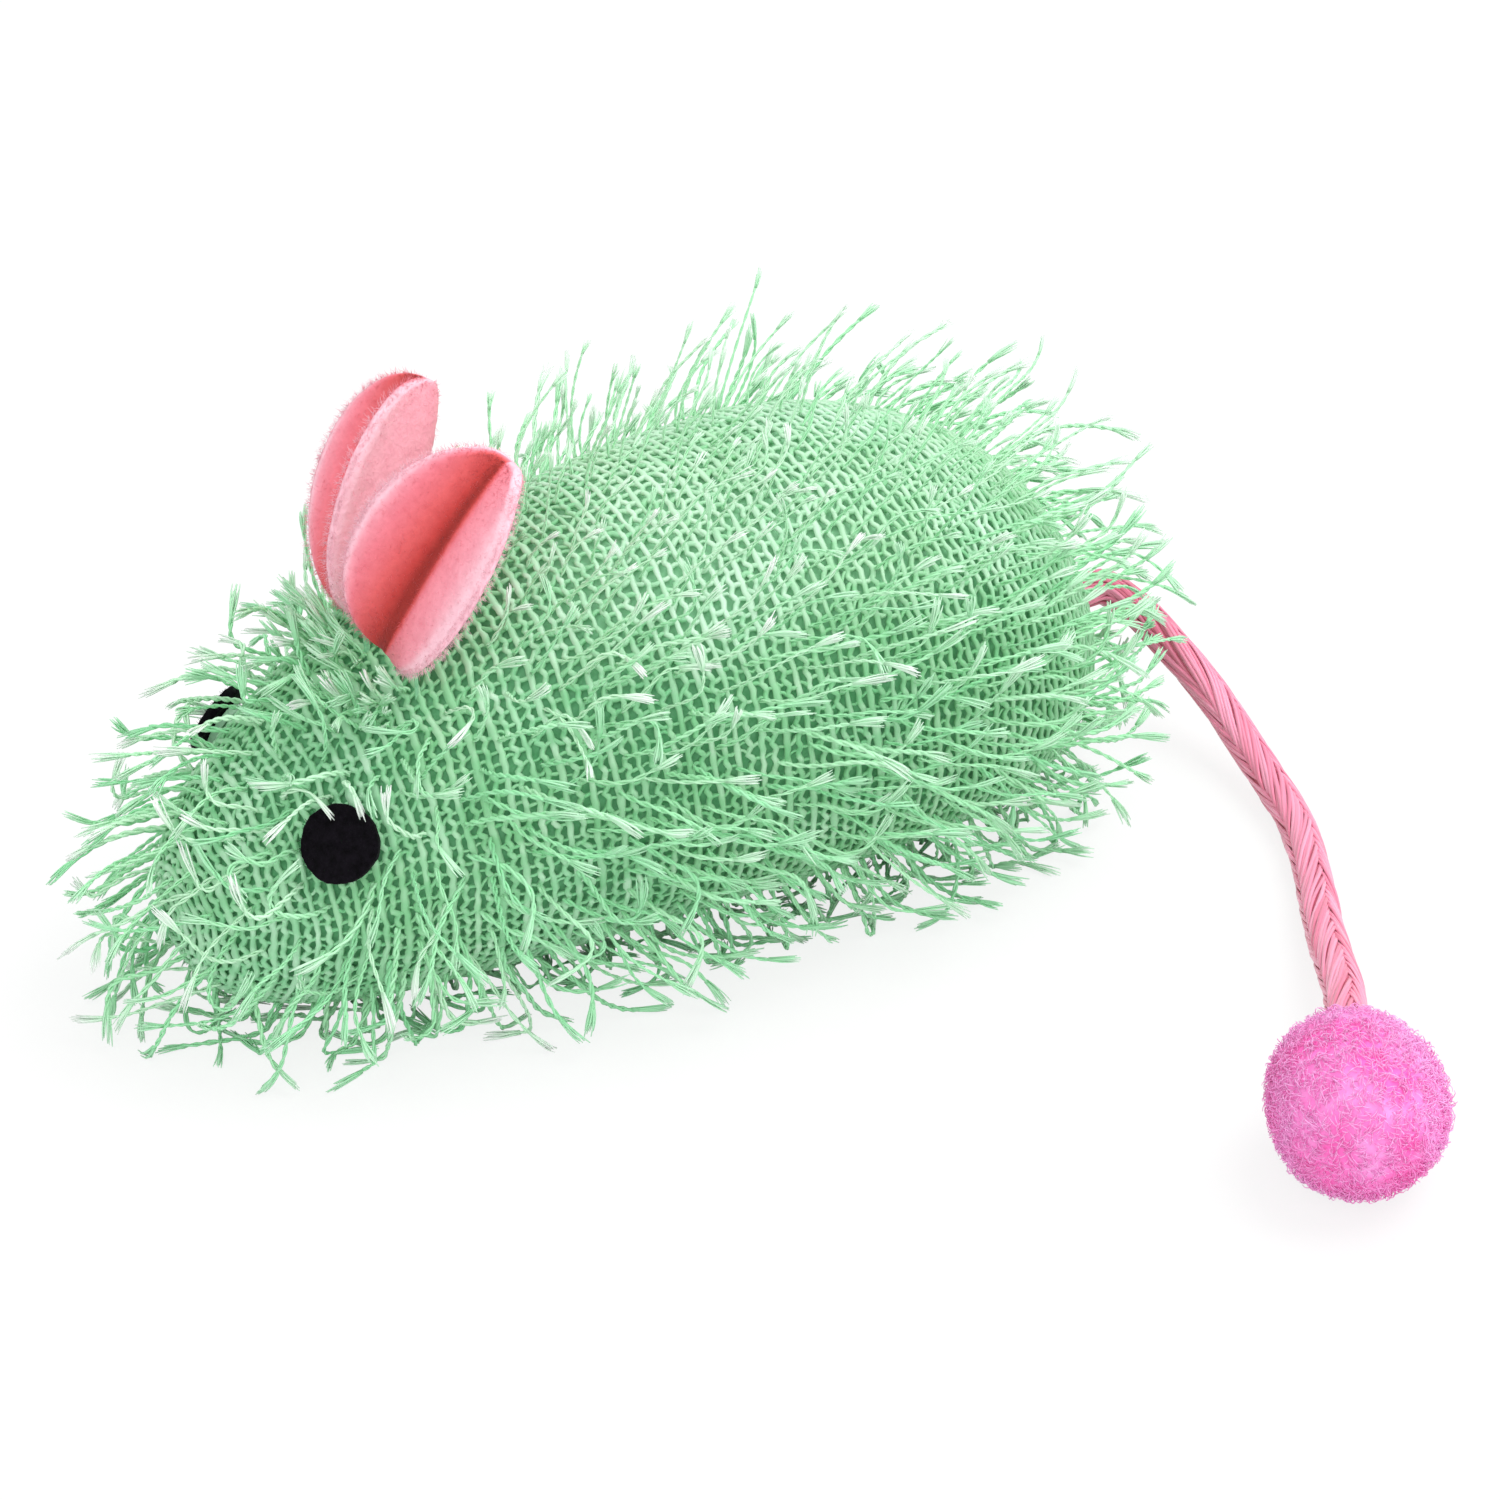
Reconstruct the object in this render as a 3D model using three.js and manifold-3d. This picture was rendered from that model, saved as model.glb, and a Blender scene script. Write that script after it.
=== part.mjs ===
// Catnip mouse: a stuffed body in a knitted cover, with felt ears, felt eyes and a cord tail
// that ends in a pompom. Millimetres. The nose points to -Y, the mouse's left is +X and +Z is up.
// It stands on the floor z = 0, with the middle between nose tip and rump at x = 0, y = 0.

import * as THREE from 'three';
import { mergeVertices } from 'three/addons/utils/BufferGeometryUtils.js';
import Module from 'manifold-3d';

const wasm = await Module();
wasm.setup();

// Clearances
const SEAT_GAP = 0.3;
const CUT_OVERRUN = 2;

// Body outline: nine stations from the nose tip to the rump, evenly spaced in the angle of
// the cosine that spreads them along the body
const BODY_LENGTH = 112;
const BODY_WIDTH = 56;
const BODY_HEIGHT = 51;
const HIP_HEIGHT = 22.5;
const BELLY_FLAT_DEPTH = 0.5;
const widthShares = [0, 0.375, 0.625, 0.81, 0.946, 1, 0.911, 0.589, 0];
const middleShares = [0.62, 0.62, 0.71, 0.845, 0.98, 1, 0.955, 0.89, 0.78];
const upperShares = [0, 0.351, 0.667, 0.923, 0.993, 1, 0.842, 0.526, 0];
const lowerShares = [0, 0.69, 0.97, 1, 1, 1, 0.955, 0.634, 0];

// Layers under the knit
const COVER_THICKNESS = 1.6;
const LINING_THICKNESS = 0.8;

// Lashes: long loose ends of the yarn, in staggered rows round the cover
const LASH_ROWS = 22;
const LASH_SPACING = 7.4;
const LASH_LENGTH = 13;
const LASH_LENGTH_STRAY = 2.5;
const LASH_THICKNESS = 0.8;
const LASH_TIP_THICKNESS = 0.5;
const LASH_ROOT_DEPTH = 0.8;
const LASH_SIDES = 3;
const LASH_STEPS = 2;
const LASH_TEST_STEPS = 6;
const GIRTH_STEPS = 48;

// The lie of the lashes: they leave the skin steeply and then lie along it, forwards on the nose and
// backwards behind it. The sink shares say how much they hang, at steps of height above the floor
const LASH_RISE_DEG = 62;
const LASH_TIP_RISE_DEG = 14;
const LASH_TOP_RISE_DEG = 20;
const LASH_STRAY = 0.4;
const SINK_STEP = 9;
const bodySinkShares = [1.4, 0.9, 0.35, 0, -0.25];
const headSinkShares = [1.2, 1, 0.85, 0.45, 0.2];
const turnLengthShares = [0.06, 0.33];
const headLengthShares = [0.22, 0.42];
const topSlopeShares = [0.1, 0.75];
const lengthTryShares = [1, 0.8, 0.6, 0.45];

// Where lashes may be: clear of the floor, the other lashes, the ears, the eyes and the tail
const LASH_CLEAR = 1;
const FELT_CLEAR = 2;
const LASH_LOWEST = 0.8;
const LASH_AHEAD = 8;
const LASH_BEHIND = 1.4;
const UNDER_TAIL_REACH = 9.5;
const UNDER_TAIL_HEIGHT = 9.5;
const LASH_BARE_TIP = 4.2;
const LASH_BARE_EYE = 5.4;
const BELLY_SLOPE = -0.88;

// Factors of the uneven values
const STRAY_NUMBER = 12.9898;
const STRAY_USE = 78.233;
const STRAY_SCALE = 43758.5453;

// Closing seam: a slit under the rump, drawn together by a zigzag of thread
const SEAM_NEAR_TAIL = 4;
const SEAM_LENGTH = 9;
const SEAM_SLIT_WIDTH = 0.8;
const SEAM_STITCH_WIDTH = 3.4;
const SEAM_STITCHES = 8;
const STEPS_PER_STITCH = 4;
const SEAM_THREAD = 0.7;

// Nose gather: the ring of thread that draws the front end of the knit together
const GATHER_HOLE = 1.4;
const GATHER_RING = 3.6;
const GATHER_THREAD = 0.8;

// Catnip pouch, lying flat in the middle of the stuffing
const POUCH_LENGTH = 34;
const POUCH_WIDTH = 26;
const POUCH_DEPTH = 11;
const POUCH_WALL = 0.6;
const POUCH_MOUTH = 5;
const POUCH_FORWARD = 6;
const POUCH_HEIGHT = 23;
const POUCH_SQUARENESS = 0.55;
const POUCH_ROWS = 8;
const POUCH_COLUMNS = 20;

// Ears: discs of felt, folded lengthways into a V and sewn down at the foot of the fold
const EAR_LENGTH = 26;
const EAR_WIDTH = 20.6;
const EAR_THICKNESS = 1.6;
const EAR_END_WIDTH = 1.8;
const EAR_FOLD_RADIUS = 2;
const EAR_SPACING = 9.2;
const EAR_BEHIND_NOSE = 25.9;
const EAR_OPENING_DEG = 85;
const EAR_LEAN_BACK_DEG = 28.3;
const EAR_LEAN_OUT_DEG = 13;
const EAR_TURN_OUT_DEG = 12.6;
const acrossShares = [0.08, 0.16, 0.42, 0.7, 1];
const EAR_ROWS = 12;
const earFoldTestDegs = [-30, -15, 0, 15, 30, 45];
const EAR_TEST_ROWS = 14;

// Ear stitch: a bar of thread through both lobes, just above the foot, with its ends in the knit
const STITCH_THREAD = 0.7;
const STITCH_HEIGHT = 2;
const STITCH_FORWARD = 1.4;
const STITCH_SPAN = 9;
const STITCH_BEND = 0.5;
const STITCH_DROP = 5;
const STITCH_STEPS = 14;

// Eyes: discs of felt on a dab of glue
const EYE_DIAMETER = 8.3;
const EYE_THICKNESS = 1.2;
const EYE_EDGE_RADIUS = 0.4;
const EYE_STAND_OFF = 1.4;
const EYE_BEHIND_NOSE = 15.4;
const eyeAngles = {
  left: { round: 36, yaw: 48, pitch: 37 },
  right: { round: 25, yaw: 57, pitch: 24 },
};
const GLUE_DIAMETER = 5.6;

// Tail: a cord knotted inside the rump, bending outside it about a point behind the skin
const CORD_DIAMETER = 4.5;
const CORD_SIDES = 10;
const CORD_STEPS = 16;
const TAIL_PIVOT_OUT = 3.8;
const KNOT_DIAMETER = 11;
const KNOT_LENGTH = 10;
const KNOT_DEPTH = 6;
const knotLengthShares = [0, 0.125, 0.25, 0.375, 0.5, 0.625, 0.75, 0.875, 1];
const knotSwellShares = [0, 0.62, 1, 1, 0.78, 1, 1, 0.62, 0];
const DOME_STEPS = 5;
const TACK_THREAD = 0.8;

// Tail route from the rump's tip: places across, behind the tip and above the floor. The cord
// leaves straight back, droops to the floor and curls round to the mouse's left
const tailRoute = [
  [0, 6.4, 17.5],
  [0.1, 7.6, 17.4],
  [1.0, 9.4, 16.2],
  [3.4, 12.0, 13.7],
  [7.4, 14.0, 10.6],
  [12.5, 15.0, 7.6],
  [18.7, 15.2, 5.1],
  [26.0, 14.0, 3.4],
  [34.0, 11.6, 2.7],
  [42.5, 8.2, 2.7],
  [50.5, 4.2, 3.3],
  [58.0, 0.0, 4.6],
  [65.5, -4.7, 6.2],
  [71.0, -8.4, 7.4],
  [76.5, -12.1, 8.2],
  [82.2, -15.9, 9.0],
];

// Pompom: a ball of yarn round the cord's end, bound to it by a ring of thread
const POMPOM_DIAMETER = 19.4;
const POMPOM_FLAT_DEPTH = 0.5;
const POMPOM_BEYOND_CORD = 2.2;
const TIE_THREAD = 1;
const TIE_INSIDE = 1.4;

// Surface resolution, and the step along the skin over which its slope is taken
const SLOPE_STEP = 0.001;
const COVER_ROWS = 26;
const COVER_COLUMNS = 32;
const INNER_ROWS = 18;
const INNER_COLUMNS = 20;
const THREAD_SIDES = 6;
const RING_STEPS = 20;
const ROUND_SIDES = 24;
const POMPOM_ROWS = 16;

const group = new THREE.Group();

const finishes = {
  knit: { color: 0x93d8aa, roughness: 0.9 },
  lining: { color: 0x3f9460, roughness: 0.95 },
  stuffing: { color: 0xf2efe6, roughness: 1 },
  pouch: { color: 0xe9e2cf, roughness: 0.85 },
  catnip: { color: 0x7c8450, roughness: 1 },
  earFelt: { color: 0xf08fa6, roughness: 0.95 },
  eyeFelt: { color: 0x0f0c11, roughness: 0.95 },
  glue: { color: 0xe8e3d6, roughness: 0.5 },
  thread: { color: 0x86c79b, roughness: 0.8 },
  cord: { color: 0xe07a94, roughness: 0.55 },
  pompom: { color: 0xff66bd, roughness: 1 },
};

function addPiece(name, geometry, finish) {
  const material = new THREE.MeshStandardMaterial(finish);
  const mesh = new THREE.Mesh(geometry, material);
  mesh.name = name;
  group.add(mesh);
  return mesh;
}

// Solids for cutting and joining

function solidOf(geometry) {
  const bare = geometry.index ? geometry.toNonIndexed() : geometry.clone();
  bare.deleteAttribute('normal');
  bare.deleteAttribute('uv');
  const merged = mergeVertices(bare);
  const mesh = new wasm.Mesh({
    numProp: 3,
    vertProperties: Float32Array.from(merged.attributes.position.array),
    triVerts: Uint32Array.from(merged.index.array),
  });
  return new wasm.Manifold(mesh);
}

function geometryOf(solid) {
  const mesh = solid.getMesh();
  const geometry = new THREE.BufferGeometry();
  geometry.setAttribute('position', new THREE.BufferAttribute(mesh.vertProperties, 3));
  geometry.setIndex(new THREE.BufferAttribute(mesh.triVerts, 1));
  geometry.computeVertexNormals();
  return geometry;
}

function boxSolid(x0, x1, y0, y1, z0, z1) {
  const box = new THREE.BoxGeometry(x1 - x0, y1 - y0, z1 - z0);
  box.translate((x0 + x1) / 2, (y0 + y1) / 2, (z0 + z1) / 2);
  return solidOf(box);
}

// A round rod along Y
function rodSolid(radius, y0, y1, x, z) {
  const rod = new THREE.CylinderGeometry(radius, radius, y1 - y0, ROUND_SIDES);
  rod.translate(x, (y0 + y1) / 2, z);
  return solidOf(rod);
}

// Closed surfaces from rings of points. The first and last rings close on a middle point.

function closedRings(rings, firstPole, lastPole) {
  const count = rings[0].length;
  const positions = [];
  for (const ring of rings) for (const p of ring) positions.push(p.x, p.y, p.z);
  const first = rings.length * count;
  positions.push(firstPole.x, firstPole.y, firstPole.z);
  positions.push(lastPole.x, lastPole.y, lastPole.z);
  const faces = [];
  for (let j = 0; j < count; j++) {
    const k = (j + 1) % count;
    faces.push(first, j, k);
    for (let i = 0; i + 1 < rings.length; i++) {
      const a = i * count;
      const b = a + count;
      faces.push(a + j, b + j, b + k, a + j, b + k, a + k);
    }
    const last = (rings.length - 1) * count;
    faces.push(last + j, first + 1, last + k);
  }
  const geometry = new THREE.BufferGeometry();
  geometry.setAttribute('position', new THREE.Float32BufferAttribute(positions, 3));
  geometry.setIndex(faces);
  geometry.computeVertexNormals();
  return geometry;
}

// A tube of thread or cord along a curve
function tube(points, diameter, sides, steps) {
  const section = new THREE.Shape();
  section.absarc(0, 0, diameter / 2, 0, Math.PI * 2);
  const path = new THREE.CatmullRomCurve3(points, false, 'centripetal');
  const outline = new THREE.Shape(section.getPoints(sides).slice(0, sides));
  return new THREE.ExtrudeGeometry(outline, { steps, extrudePath: path, bevelEnabled: false });
}

function ring(middleRadius, thread) {
  return new THREE.TorusGeometry(middleRadius, thread / 2, THREAD_SIDES, RING_STEPS);
}

// The body's skin. A station runs from 0 at the nose tip to 1 at the rump's tip, and the angle
// goes round the body from its left side over the back.

function tableValue(shares, station) {
  const last = shares.length - 1;
  const place = station * last;
  const i = Math.min(Math.floor(place), last - 1);
  const t = place - i;
  const before = i > 0 ? shares[i - 1] : 2 * shares[0] - shares[1];
  const after = i + 2 <= last ? shares[i + 2] : 2 * shares[last] - shares[last - 1];
  return THREE.MathUtils.clamp(catmull(before, shares[i], shares[i + 1], after, t), 0, 1);
}

function catmull(a, b, c, d, t) {
  const slope = c - a;
  const bend = 2 * a - 5 * b + 4 * c - d;
  const twist = 3 * b - a - 3 * c + d;
  return b + (slope * t + bend * t * t + twist * t * t * t) / 2;
}

function stationAt(y) {
  return Math.acos(THREE.MathUtils.clamp(-y / (BODY_LENGTH / 2), -1, 1)) / Math.PI;
}

function middleHeight(station) {
  return HIP_HEIGHT * tableValue(middleShares, station);
}

function halfWidth(station) {
  return (BODY_WIDTH / 2) * tableValue(widthShares, station);
}

function riseAbove(station) {
  return (BODY_HEIGHT - HIP_HEIGHT) * tableValue(upperShares, station);
}

function dropBelow(station) {
  return (middleHeight(station) + BELLY_FLAT_DEPTH) * tableValue(lowerShares, station);
}

function skinPoint(station, angle) {
  const y = (-BODY_LENGTH / 2) * Math.cos(Math.PI * station);
  const tall = Math.sin(angle) > 0 ? riseAbove(station) : dropBelow(station);
  const x = halfWidth(station) * Math.cos(angle);
  return new THREE.Vector3(x, y, middleHeight(station) + tall * Math.sin(angle));
}

function skinNormal(station, angle) {
  const s0 = Math.max(station - SLOPE_STEP, 0);
  const s1 = Math.min(station + SLOPE_STEP, 1);
  const lengthways = skinPoint(s1, angle).sub(skinPoint(s0, angle));
  const round = skinPoint(station, angle + SLOPE_STEP).sub(skinPoint(station, angle - SLOPE_STEP));
  return lengthways.cross(round).normalize();
}

// A point on the skin moved inwards by a depth, with the belly flat at that depth from the floor
function layerPoint(station, angle, depth) {
  const p = skinPoint(station, angle);
  p.addScaledVector(skinNormal(station, angle), -depth);
  p.z = Math.max(p.z, depth);
  return p;
}

function tipPoint(station, depth) {
  const y = (BODY_LENGTH / 2 - depth) * (station === 0 ? -1 : 1);
  return new THREE.Vector3(0, y, middleHeight(station));
}

function layerSolid(depth, rows, columns) {
  const rings = [];
  for (let i = 1; i < rows; i++) {
    const points = [];
    for (let j = 0; j < columns; j++) {
      points.push(layerPoint(i / rows, (2 * Math.PI * j) / columns, depth));
    }
    rings.push(points);
  }
  return solidOf(closedRings(rings, tipPoint(0, depth), tipPoint(1, depth)));
}

// Height of the back over a place in plan
function backHeight(x, y) {
  const station = stationAt(y);
  const across = THREE.MathUtils.clamp(x / halfWidth(station), -1, 1);
  return middleHeight(station) + riseAbove(station) * Math.sqrt(1 - across * across);
}

// Shared places and cutters
const noseTip = tipPoint(0, 0);
const tailRoot = tipPoint(1, 0);
const clearOfCover = layerSolid(-SEAT_GAP, COVER_ROWS, COVER_COLUMNS);
const liningDepth = COVER_THICKNESS + SEAT_GAP;
const stuffingDepth = liningDepth + LINING_THICKNESS + SEAT_GAP;
const tailHole = CORD_DIAMETER / 2 + SEAT_GAP;

function openingsThroughSkin() {
  const behind = tailRoot.y + CUT_OVERRUN;
  const inside = tailRoot.y - stuffingDepth - CUT_OVERRUN;
  const hole = rodSolid(tailHole, inside, behind, 0, tailRoot.z);
  const front = noseTip.y - CUT_OVERRUN;
  const nose = rodSolid(GATHER_HOLE / 2, front, noseTip.y + stuffingDepth, 0, noseTip.z);
  const seamEnd = tailRoot.y - SEAM_NEAR_TAIL;
  const half = SEAM_SLIT_WIDTH / 2;
  const top = tailRoot.z - tailHole - CUT_OVERRUN;
  const slit = boxSolid(-half, half, seamEnd - SEAM_LENGTH, seamEnd, 0, top);
  return hole.add(nose).add(slit);
}

// Lashes

// A repeatable uneven value between -1 and 1 for a lash and a use
function stray(number, use) {
  const wild = Math.sin(number * STRAY_NUMBER + use * STRAY_USE) * STRAY_SCALE;
  return 2 * (wild - Math.floor(wild)) - 1;
}

function linearValue(shares, place) {
  const last = shares.length - 1;
  const i = Math.min(Math.floor(place), last - 1);
  return THREE.MathUtils.lerp(shares[i], shares[i + 1], Math.min(place - i, 1));
}

// The way along the skin in which a lash lies
function lashFlow(p, normal) {
  const share = p.y / BODY_LENGTH + 0.5;
  const back = new THREE.Vector3(0, 1, 0).projectOnPlane(normal).normalize();
  const down = new THREE.Vector3(0, 0, -1).projectOnPlane(normal).normalize();
  const rearward = 2 * THREE.MathUtils.smoothstep(share, ...turnLengthShares) - 1;
  const head = 1 - THREE.MathUtils.smoothstep(share, ...headLengthShares);
  const onTop = THREE.MathUtils.smoothstep(normal.z, ...topSlopeShares);
  const place = Math.max(p.z, 0) / SINK_STEP;
  const headSink = (1 - onTop) * linearValue(headSinkShares, place);
  const sink = THREE.MathUtils.lerp(linearValue(bodySinkShares, place), headSink, head);
  return back.multiplyScalar(rearward).addScaledVector(down, sink).normalize();
}

// The middle line of a lash, from its root inside the cover
function lashPath(root, normal, flow, length, turn) {
  const onTop = THREE.MathUtils.smoothstep(normal.z, ...topSlopeShares);
  const points = [root.clone()];
  for (let i = 0; i < LASH_STEPS; i++) {
    const share = (i + 0.5) / LASH_STEPS;
    const rise = THREE.MathUtils.lerp(LASH_RISE_DEG, LASH_TIP_RISE_DEG + LASH_TOP_RISE_DEG * onTop, share);
    const angle = THREE.MathUtils.degToRad(rise);
    const way = flow.clone().applyAxisAngle(normal, turn * (1 + share)).multiplyScalar(Math.cos(angle));
    way.addScaledVector(normal, Math.sin(angle));
    const next = points[i].clone().addScaledVector(way, length / LASH_STEPS);
    next.z = Math.max(next.z, LASH_LOWEST);
    points.push(next);
  }
  return points;
}

function testPoints(path) {
  const points = [];
  for (let i = 0; i + 1 < path.length; i++) {
    for (let k = 1; k <= LASH_TEST_STEPS; k++) {
      points.push(path[i].clone().lerp(path[i + 1], k / LASH_TEST_STEPS));
    }
  }
  return points;
}

// Whether any of the points comes within a distance of any of the others
function comesNear(points, others, distance) {
  const limit = distance * distance;
  return points.some((p) => others.some((q) => p.distanceToSquared(q) < limit));
}

function lashSolid(path, normal) {
  const last = path.length - 1;
  const rings = path.map((p, i) => {
    const along = path[Math.min(i + 1, last)].clone().sub(path[Math.max(i - 1, 0)]).normalize();
    const across = normal.clone().cross(along).normalize();
    const over = across.clone().cross(along);
    const radius = THREE.MathUtils.lerp(LASH_THICKNESS, LASH_TIP_THICKNESS, i / last) / 2;
    return Array.from({ length: LASH_SIDES }, (_, k) => {
      const angle = (2 * Math.PI * k) / LASH_SIDES;
      const corner = p.clone().addScaledVector(across, radius * Math.cos(angle));
      return corner.addScaledVector(over, radius * Math.sin(angle));
    });
  });
  const beyond = path[last].clone().sub(path[last - 1]).setLength(LASH_TIP_THICKNESS).add(path[last]);
  return solidOf(closedRings(rings, path[0], beyond));
}

// The girth at a station, with the lengths that it has run at evenly spaced angles
function girthAngles(station) {
  const angles = [0];
  const lengths = [0];
  for (let j = 1; j <= GIRTH_STEPS; j++) {
    const angle = (2 * Math.PI * j) / GIRTH_STEPS;
    const before = skinPoint(station, angles[j - 1]);
    lengths.push(lengths[j - 1] + skinPoint(station, angle).distanceTo(before));
    angles.push(angle);
  }
  return { angles, lengths, girth: lengths[GIRTH_STEPS] };
}

// The angle at which a share of the girth has run
function angleAt({ angles, lengths, girth }, share) {
  const run = (((share % 1) + 1) % 1) * girth;
  const j = Math.max(lengths.findIndex((length) => length > run), 1);
  return THREE.MathUtils.mapLinear(run, lengths[j - 1], lengths[j], angles[j - 1], angles[j]);
}

function lashRoots() {
  const roots = [];
  for (let i = 1; i < LASH_ROWS; i++) {
    const station = i / LASH_ROWS;
    const around = girthAngles(station);
    const count = Math.round(around.girth / LASH_SPACING);
    for (let j = 0; j < count; j++) {
      const number = roots.length;
      const share = (j + (i % 2) / 2 + LASH_STRAY * stray(number, 1) / 2) / count;
      const aside = (LASH_STRAY * stray(number, 2)) / LASH_ROWS;
      roots.push({ station: station + aside, angle: angleAt(around, share) });
    }
  }
  return roots;
}

// Whether the turning tail may pass a place. It leaves free what lies low behind the rump
function tailPasses(p) {
  const behind = p.y - tailRoot.y;
  const reach = Math.hypot(p.x, behind - TAIL_PIVOT_OUT);
  return behind > LASH_BEHIND && (reach > UNDER_TAIL_REACH || p.z > UNDER_TAIL_HEIGHT);
}

// Each lash is shortened until it is clear of everything but its root in the cover, or left out
function lashSolids(wall) {
  const bare = [
    [noseTip, LASH_BARE_TIP],
    [tailRoot, LASH_BARE_TIP],
    [eyePlace('left', 1), LASH_BARE_EYE],
    [eyePlace('right', -1), LASH_BARE_EYE],
  ];
  const felt = earTestPoints();
  const seamFront = tailRoot.y - SEAM_NEAR_TAIL - SEAM_LENGTH;
  const taken = [];
  const solids = [];
  lashRoots().forEach(({ station, angle }, number) => {
    const root = layerPoint(station, angle, LASH_ROOT_DEPTH);
    const normal = skinNormal(station, angle);
    const onSeam = Math.abs(root.x) < SEAM_STITCH_WIDTH && root.y > seamFront - LASH_CLEAR && normal.z < 0;
    if (normal.z < BELLY_SLOPE || onSeam) return;
    const flow = lashFlow(root, normal);
    for (const scale of lengthTryShares) {
      const length = (LASH_LENGTH + LASH_LENGTH_STRAY * stray(number, 3)) * scale;
      const path = lashPath(root, normal, flow, length, LASH_STRAY * stray(number, 4));
      const points = testPoints(path);
      const meets = points.some((p) => p.y < noseTip.y - LASH_AHEAD || tailPasses(p))
        || bare.some(([place, distance]) => comesNear(points, [place], distance))
        || comesNear(points, felt, FELT_CLEAR)
        || taken.some((other) => comesNear(points, other, LASH_THICKNESS + LASH_CLEAR));
      const solid = lashSolid(path, normal);
      if (meets || wall.intersect(solid).decompose().length > 1) continue;
      taken.push(points);
      solids.push(solid);
      return;
    }
  });
  return solids;
}

// Knitted cover, lining bag and stuffing

function addSkins() {
  const openings = openingsThroughSkin();
  const outside = layerSolid(0, COVER_ROWS, COVER_COLUMNS);
  const coverHollow = layerSolid(COVER_THICKNESS, INNER_ROWS, INNER_COLUMNS);
  const wall = outside.subtract(coverHollow).subtract(openings);
  const cover = wasm.Manifold.union([wall, ...lashSolids(wall)]);
  addPiece('knit_cover', geometryOf(cover), finishes.knit);

  const bag = layerSolid(liningDepth, INNER_ROWS, INNER_COLUMNS);
  const bagHollow = layerSolid(liningDepth + LINING_THICKNESS, INNER_ROWS, INNER_COLUMNS);
  const lining = bag.subtract(bagHollow).subtract(openings);
  addPiece('lining_bag', geometryOf(lining), finishes.lining);
}

// A flat pouch shape with squarish corners, its thickness falling to nothing at the edges
function pouchSolid(shrink) {
  const size = new THREE.Vector3(POUCH_WIDTH, POUCH_LENGTH, POUCH_DEPTH).divideScalar(2);
  size.subScalar(shrink);
  const rings = [];
  for (let i = 1; i < POUCH_ROWS; i++) {
    const tilt = Math.PI * (i / POUCH_ROWS - 0.5);
    const points = [];
    for (let j = 0; j < POUCH_COLUMNS; j++) {
      const turn = (2 * Math.PI * j) / POUCH_COLUMNS;
      const reach = Math.cos(tilt) ** POUCH_SQUARENESS;
      const x = Math.sign(Math.cos(turn)) * Math.abs(Math.cos(turn)) ** POUCH_SQUARENESS;
      const y = Math.sign(Math.sin(turn)) * Math.abs(Math.sin(turn)) ** POUCH_SQUARENESS;
      points.push(new THREE.Vector3(size.x * reach * x, size.y * reach * y, size.z * Math.sin(tilt)));
    }
    rings.push(points.reverse());
  }
  const shape = closedRings(rings, new THREE.Vector3(0, 0, -size.z), new THREE.Vector3(0, 0, size.z));
  shape.translate(0, -POUCH_FORWARD, POUCH_HEIGHT);
  return solidOf(shape);
}

function addStuffingAndPouch() {
  const pouchEnd = POUCH_LENGTH / 2 - POUCH_FORWARD;
  const knotFront = tailRoot.y - KNOT_DEPTH - KNOT_LENGTH;
  const pocket = rodSolid(KNOT_DIAMETER / 2 + SEAT_GAP, knotFront - SEAT_GAP, tailRoot.y, 0, tailRoot.z);
  const half = POUCH_MOUTH / 2;
  const wayUp = Math.max(tailRoot.z, POUCH_HEIGHT) + half;
  const wayDown = Math.min(tailRoot.z, POUCH_HEIGHT) - half;
  const way = boxSolid(-half, half, pouchEnd - CUT_OVERRUN, knotFront, wayDown, wayUp);
  const stuffing = layerSolid(stuffingDepth, INNER_ROWS, INNER_COLUMNS)
    .subtract(pouchSolid(-SEAT_GAP))
    .subtract(pocket)
    .subtract(way);
  addPiece('stuffing', geometryOf(stuffing), finishes.stuffing);

  const lip = POUCH_WALL;
  const mouth = boxSolid(-half, half, pouchEnd - 2 * CUT_OVERRUN, pouchEnd + CUT_OVERRUN,
    POUCH_HEIGHT - lip, POUCH_HEIGHT + lip);
  const pouch = pouchSolid(0).subtract(pouchSolid(POUCH_WALL)).subtract(mouth);
  addPiece('catnip_pouch', geometryOf(pouch), finishes.pouch);
  addPiece('catnip_fill', geometryOf(pouchSolid(POUCH_WALL + SEAT_GAP)), finishes.catnip);
}

// Threads of the closing seam and of the nose gather

function addSeamThread() {
  const lift = SEAT_GAP + SEAM_THREAD / 2;
  const end = tailRoot.y - SEAM_NEAR_TAIL;
  const points = [];
  for (let i = 0; i <= SEAM_STITCHES; i++) {
    const station = stationAt(end - (SEAM_LENGTH * i) / SEAM_STITCHES);
    const reach = Math.min(SEAM_STITCH_WIDTH / 2 / halfWidth(station), 1);
    const sideways = Math.asin(reach) * (i % 2 ? 1 : -1);
    points.push(layerPoint(station, -Math.PI / 2 + sideways, -lift));
  }
  const thread = tube(points, SEAM_THREAD, THREAD_SIDES, SEAM_STITCHES * STEPS_PER_STITCH);
  const seated = solidOf(thread).subtract(clearOfCover);
  addPiece('closing_seam_thread', geometryOf(seated), finishes.thread);
}

function addNoseThread() {
  const loop = ring(GATHER_RING / 2, GATHER_THREAD);
  loop.rotateX(Math.PI / 2);
  const thread = addPiece('nose_gather_thread', loop, finishes.thread);
  thread.position.copy(noseTip);
  thread.position.y -= SEAT_GAP + GATHER_THREAD / 2;
}

// Eyes

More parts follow.
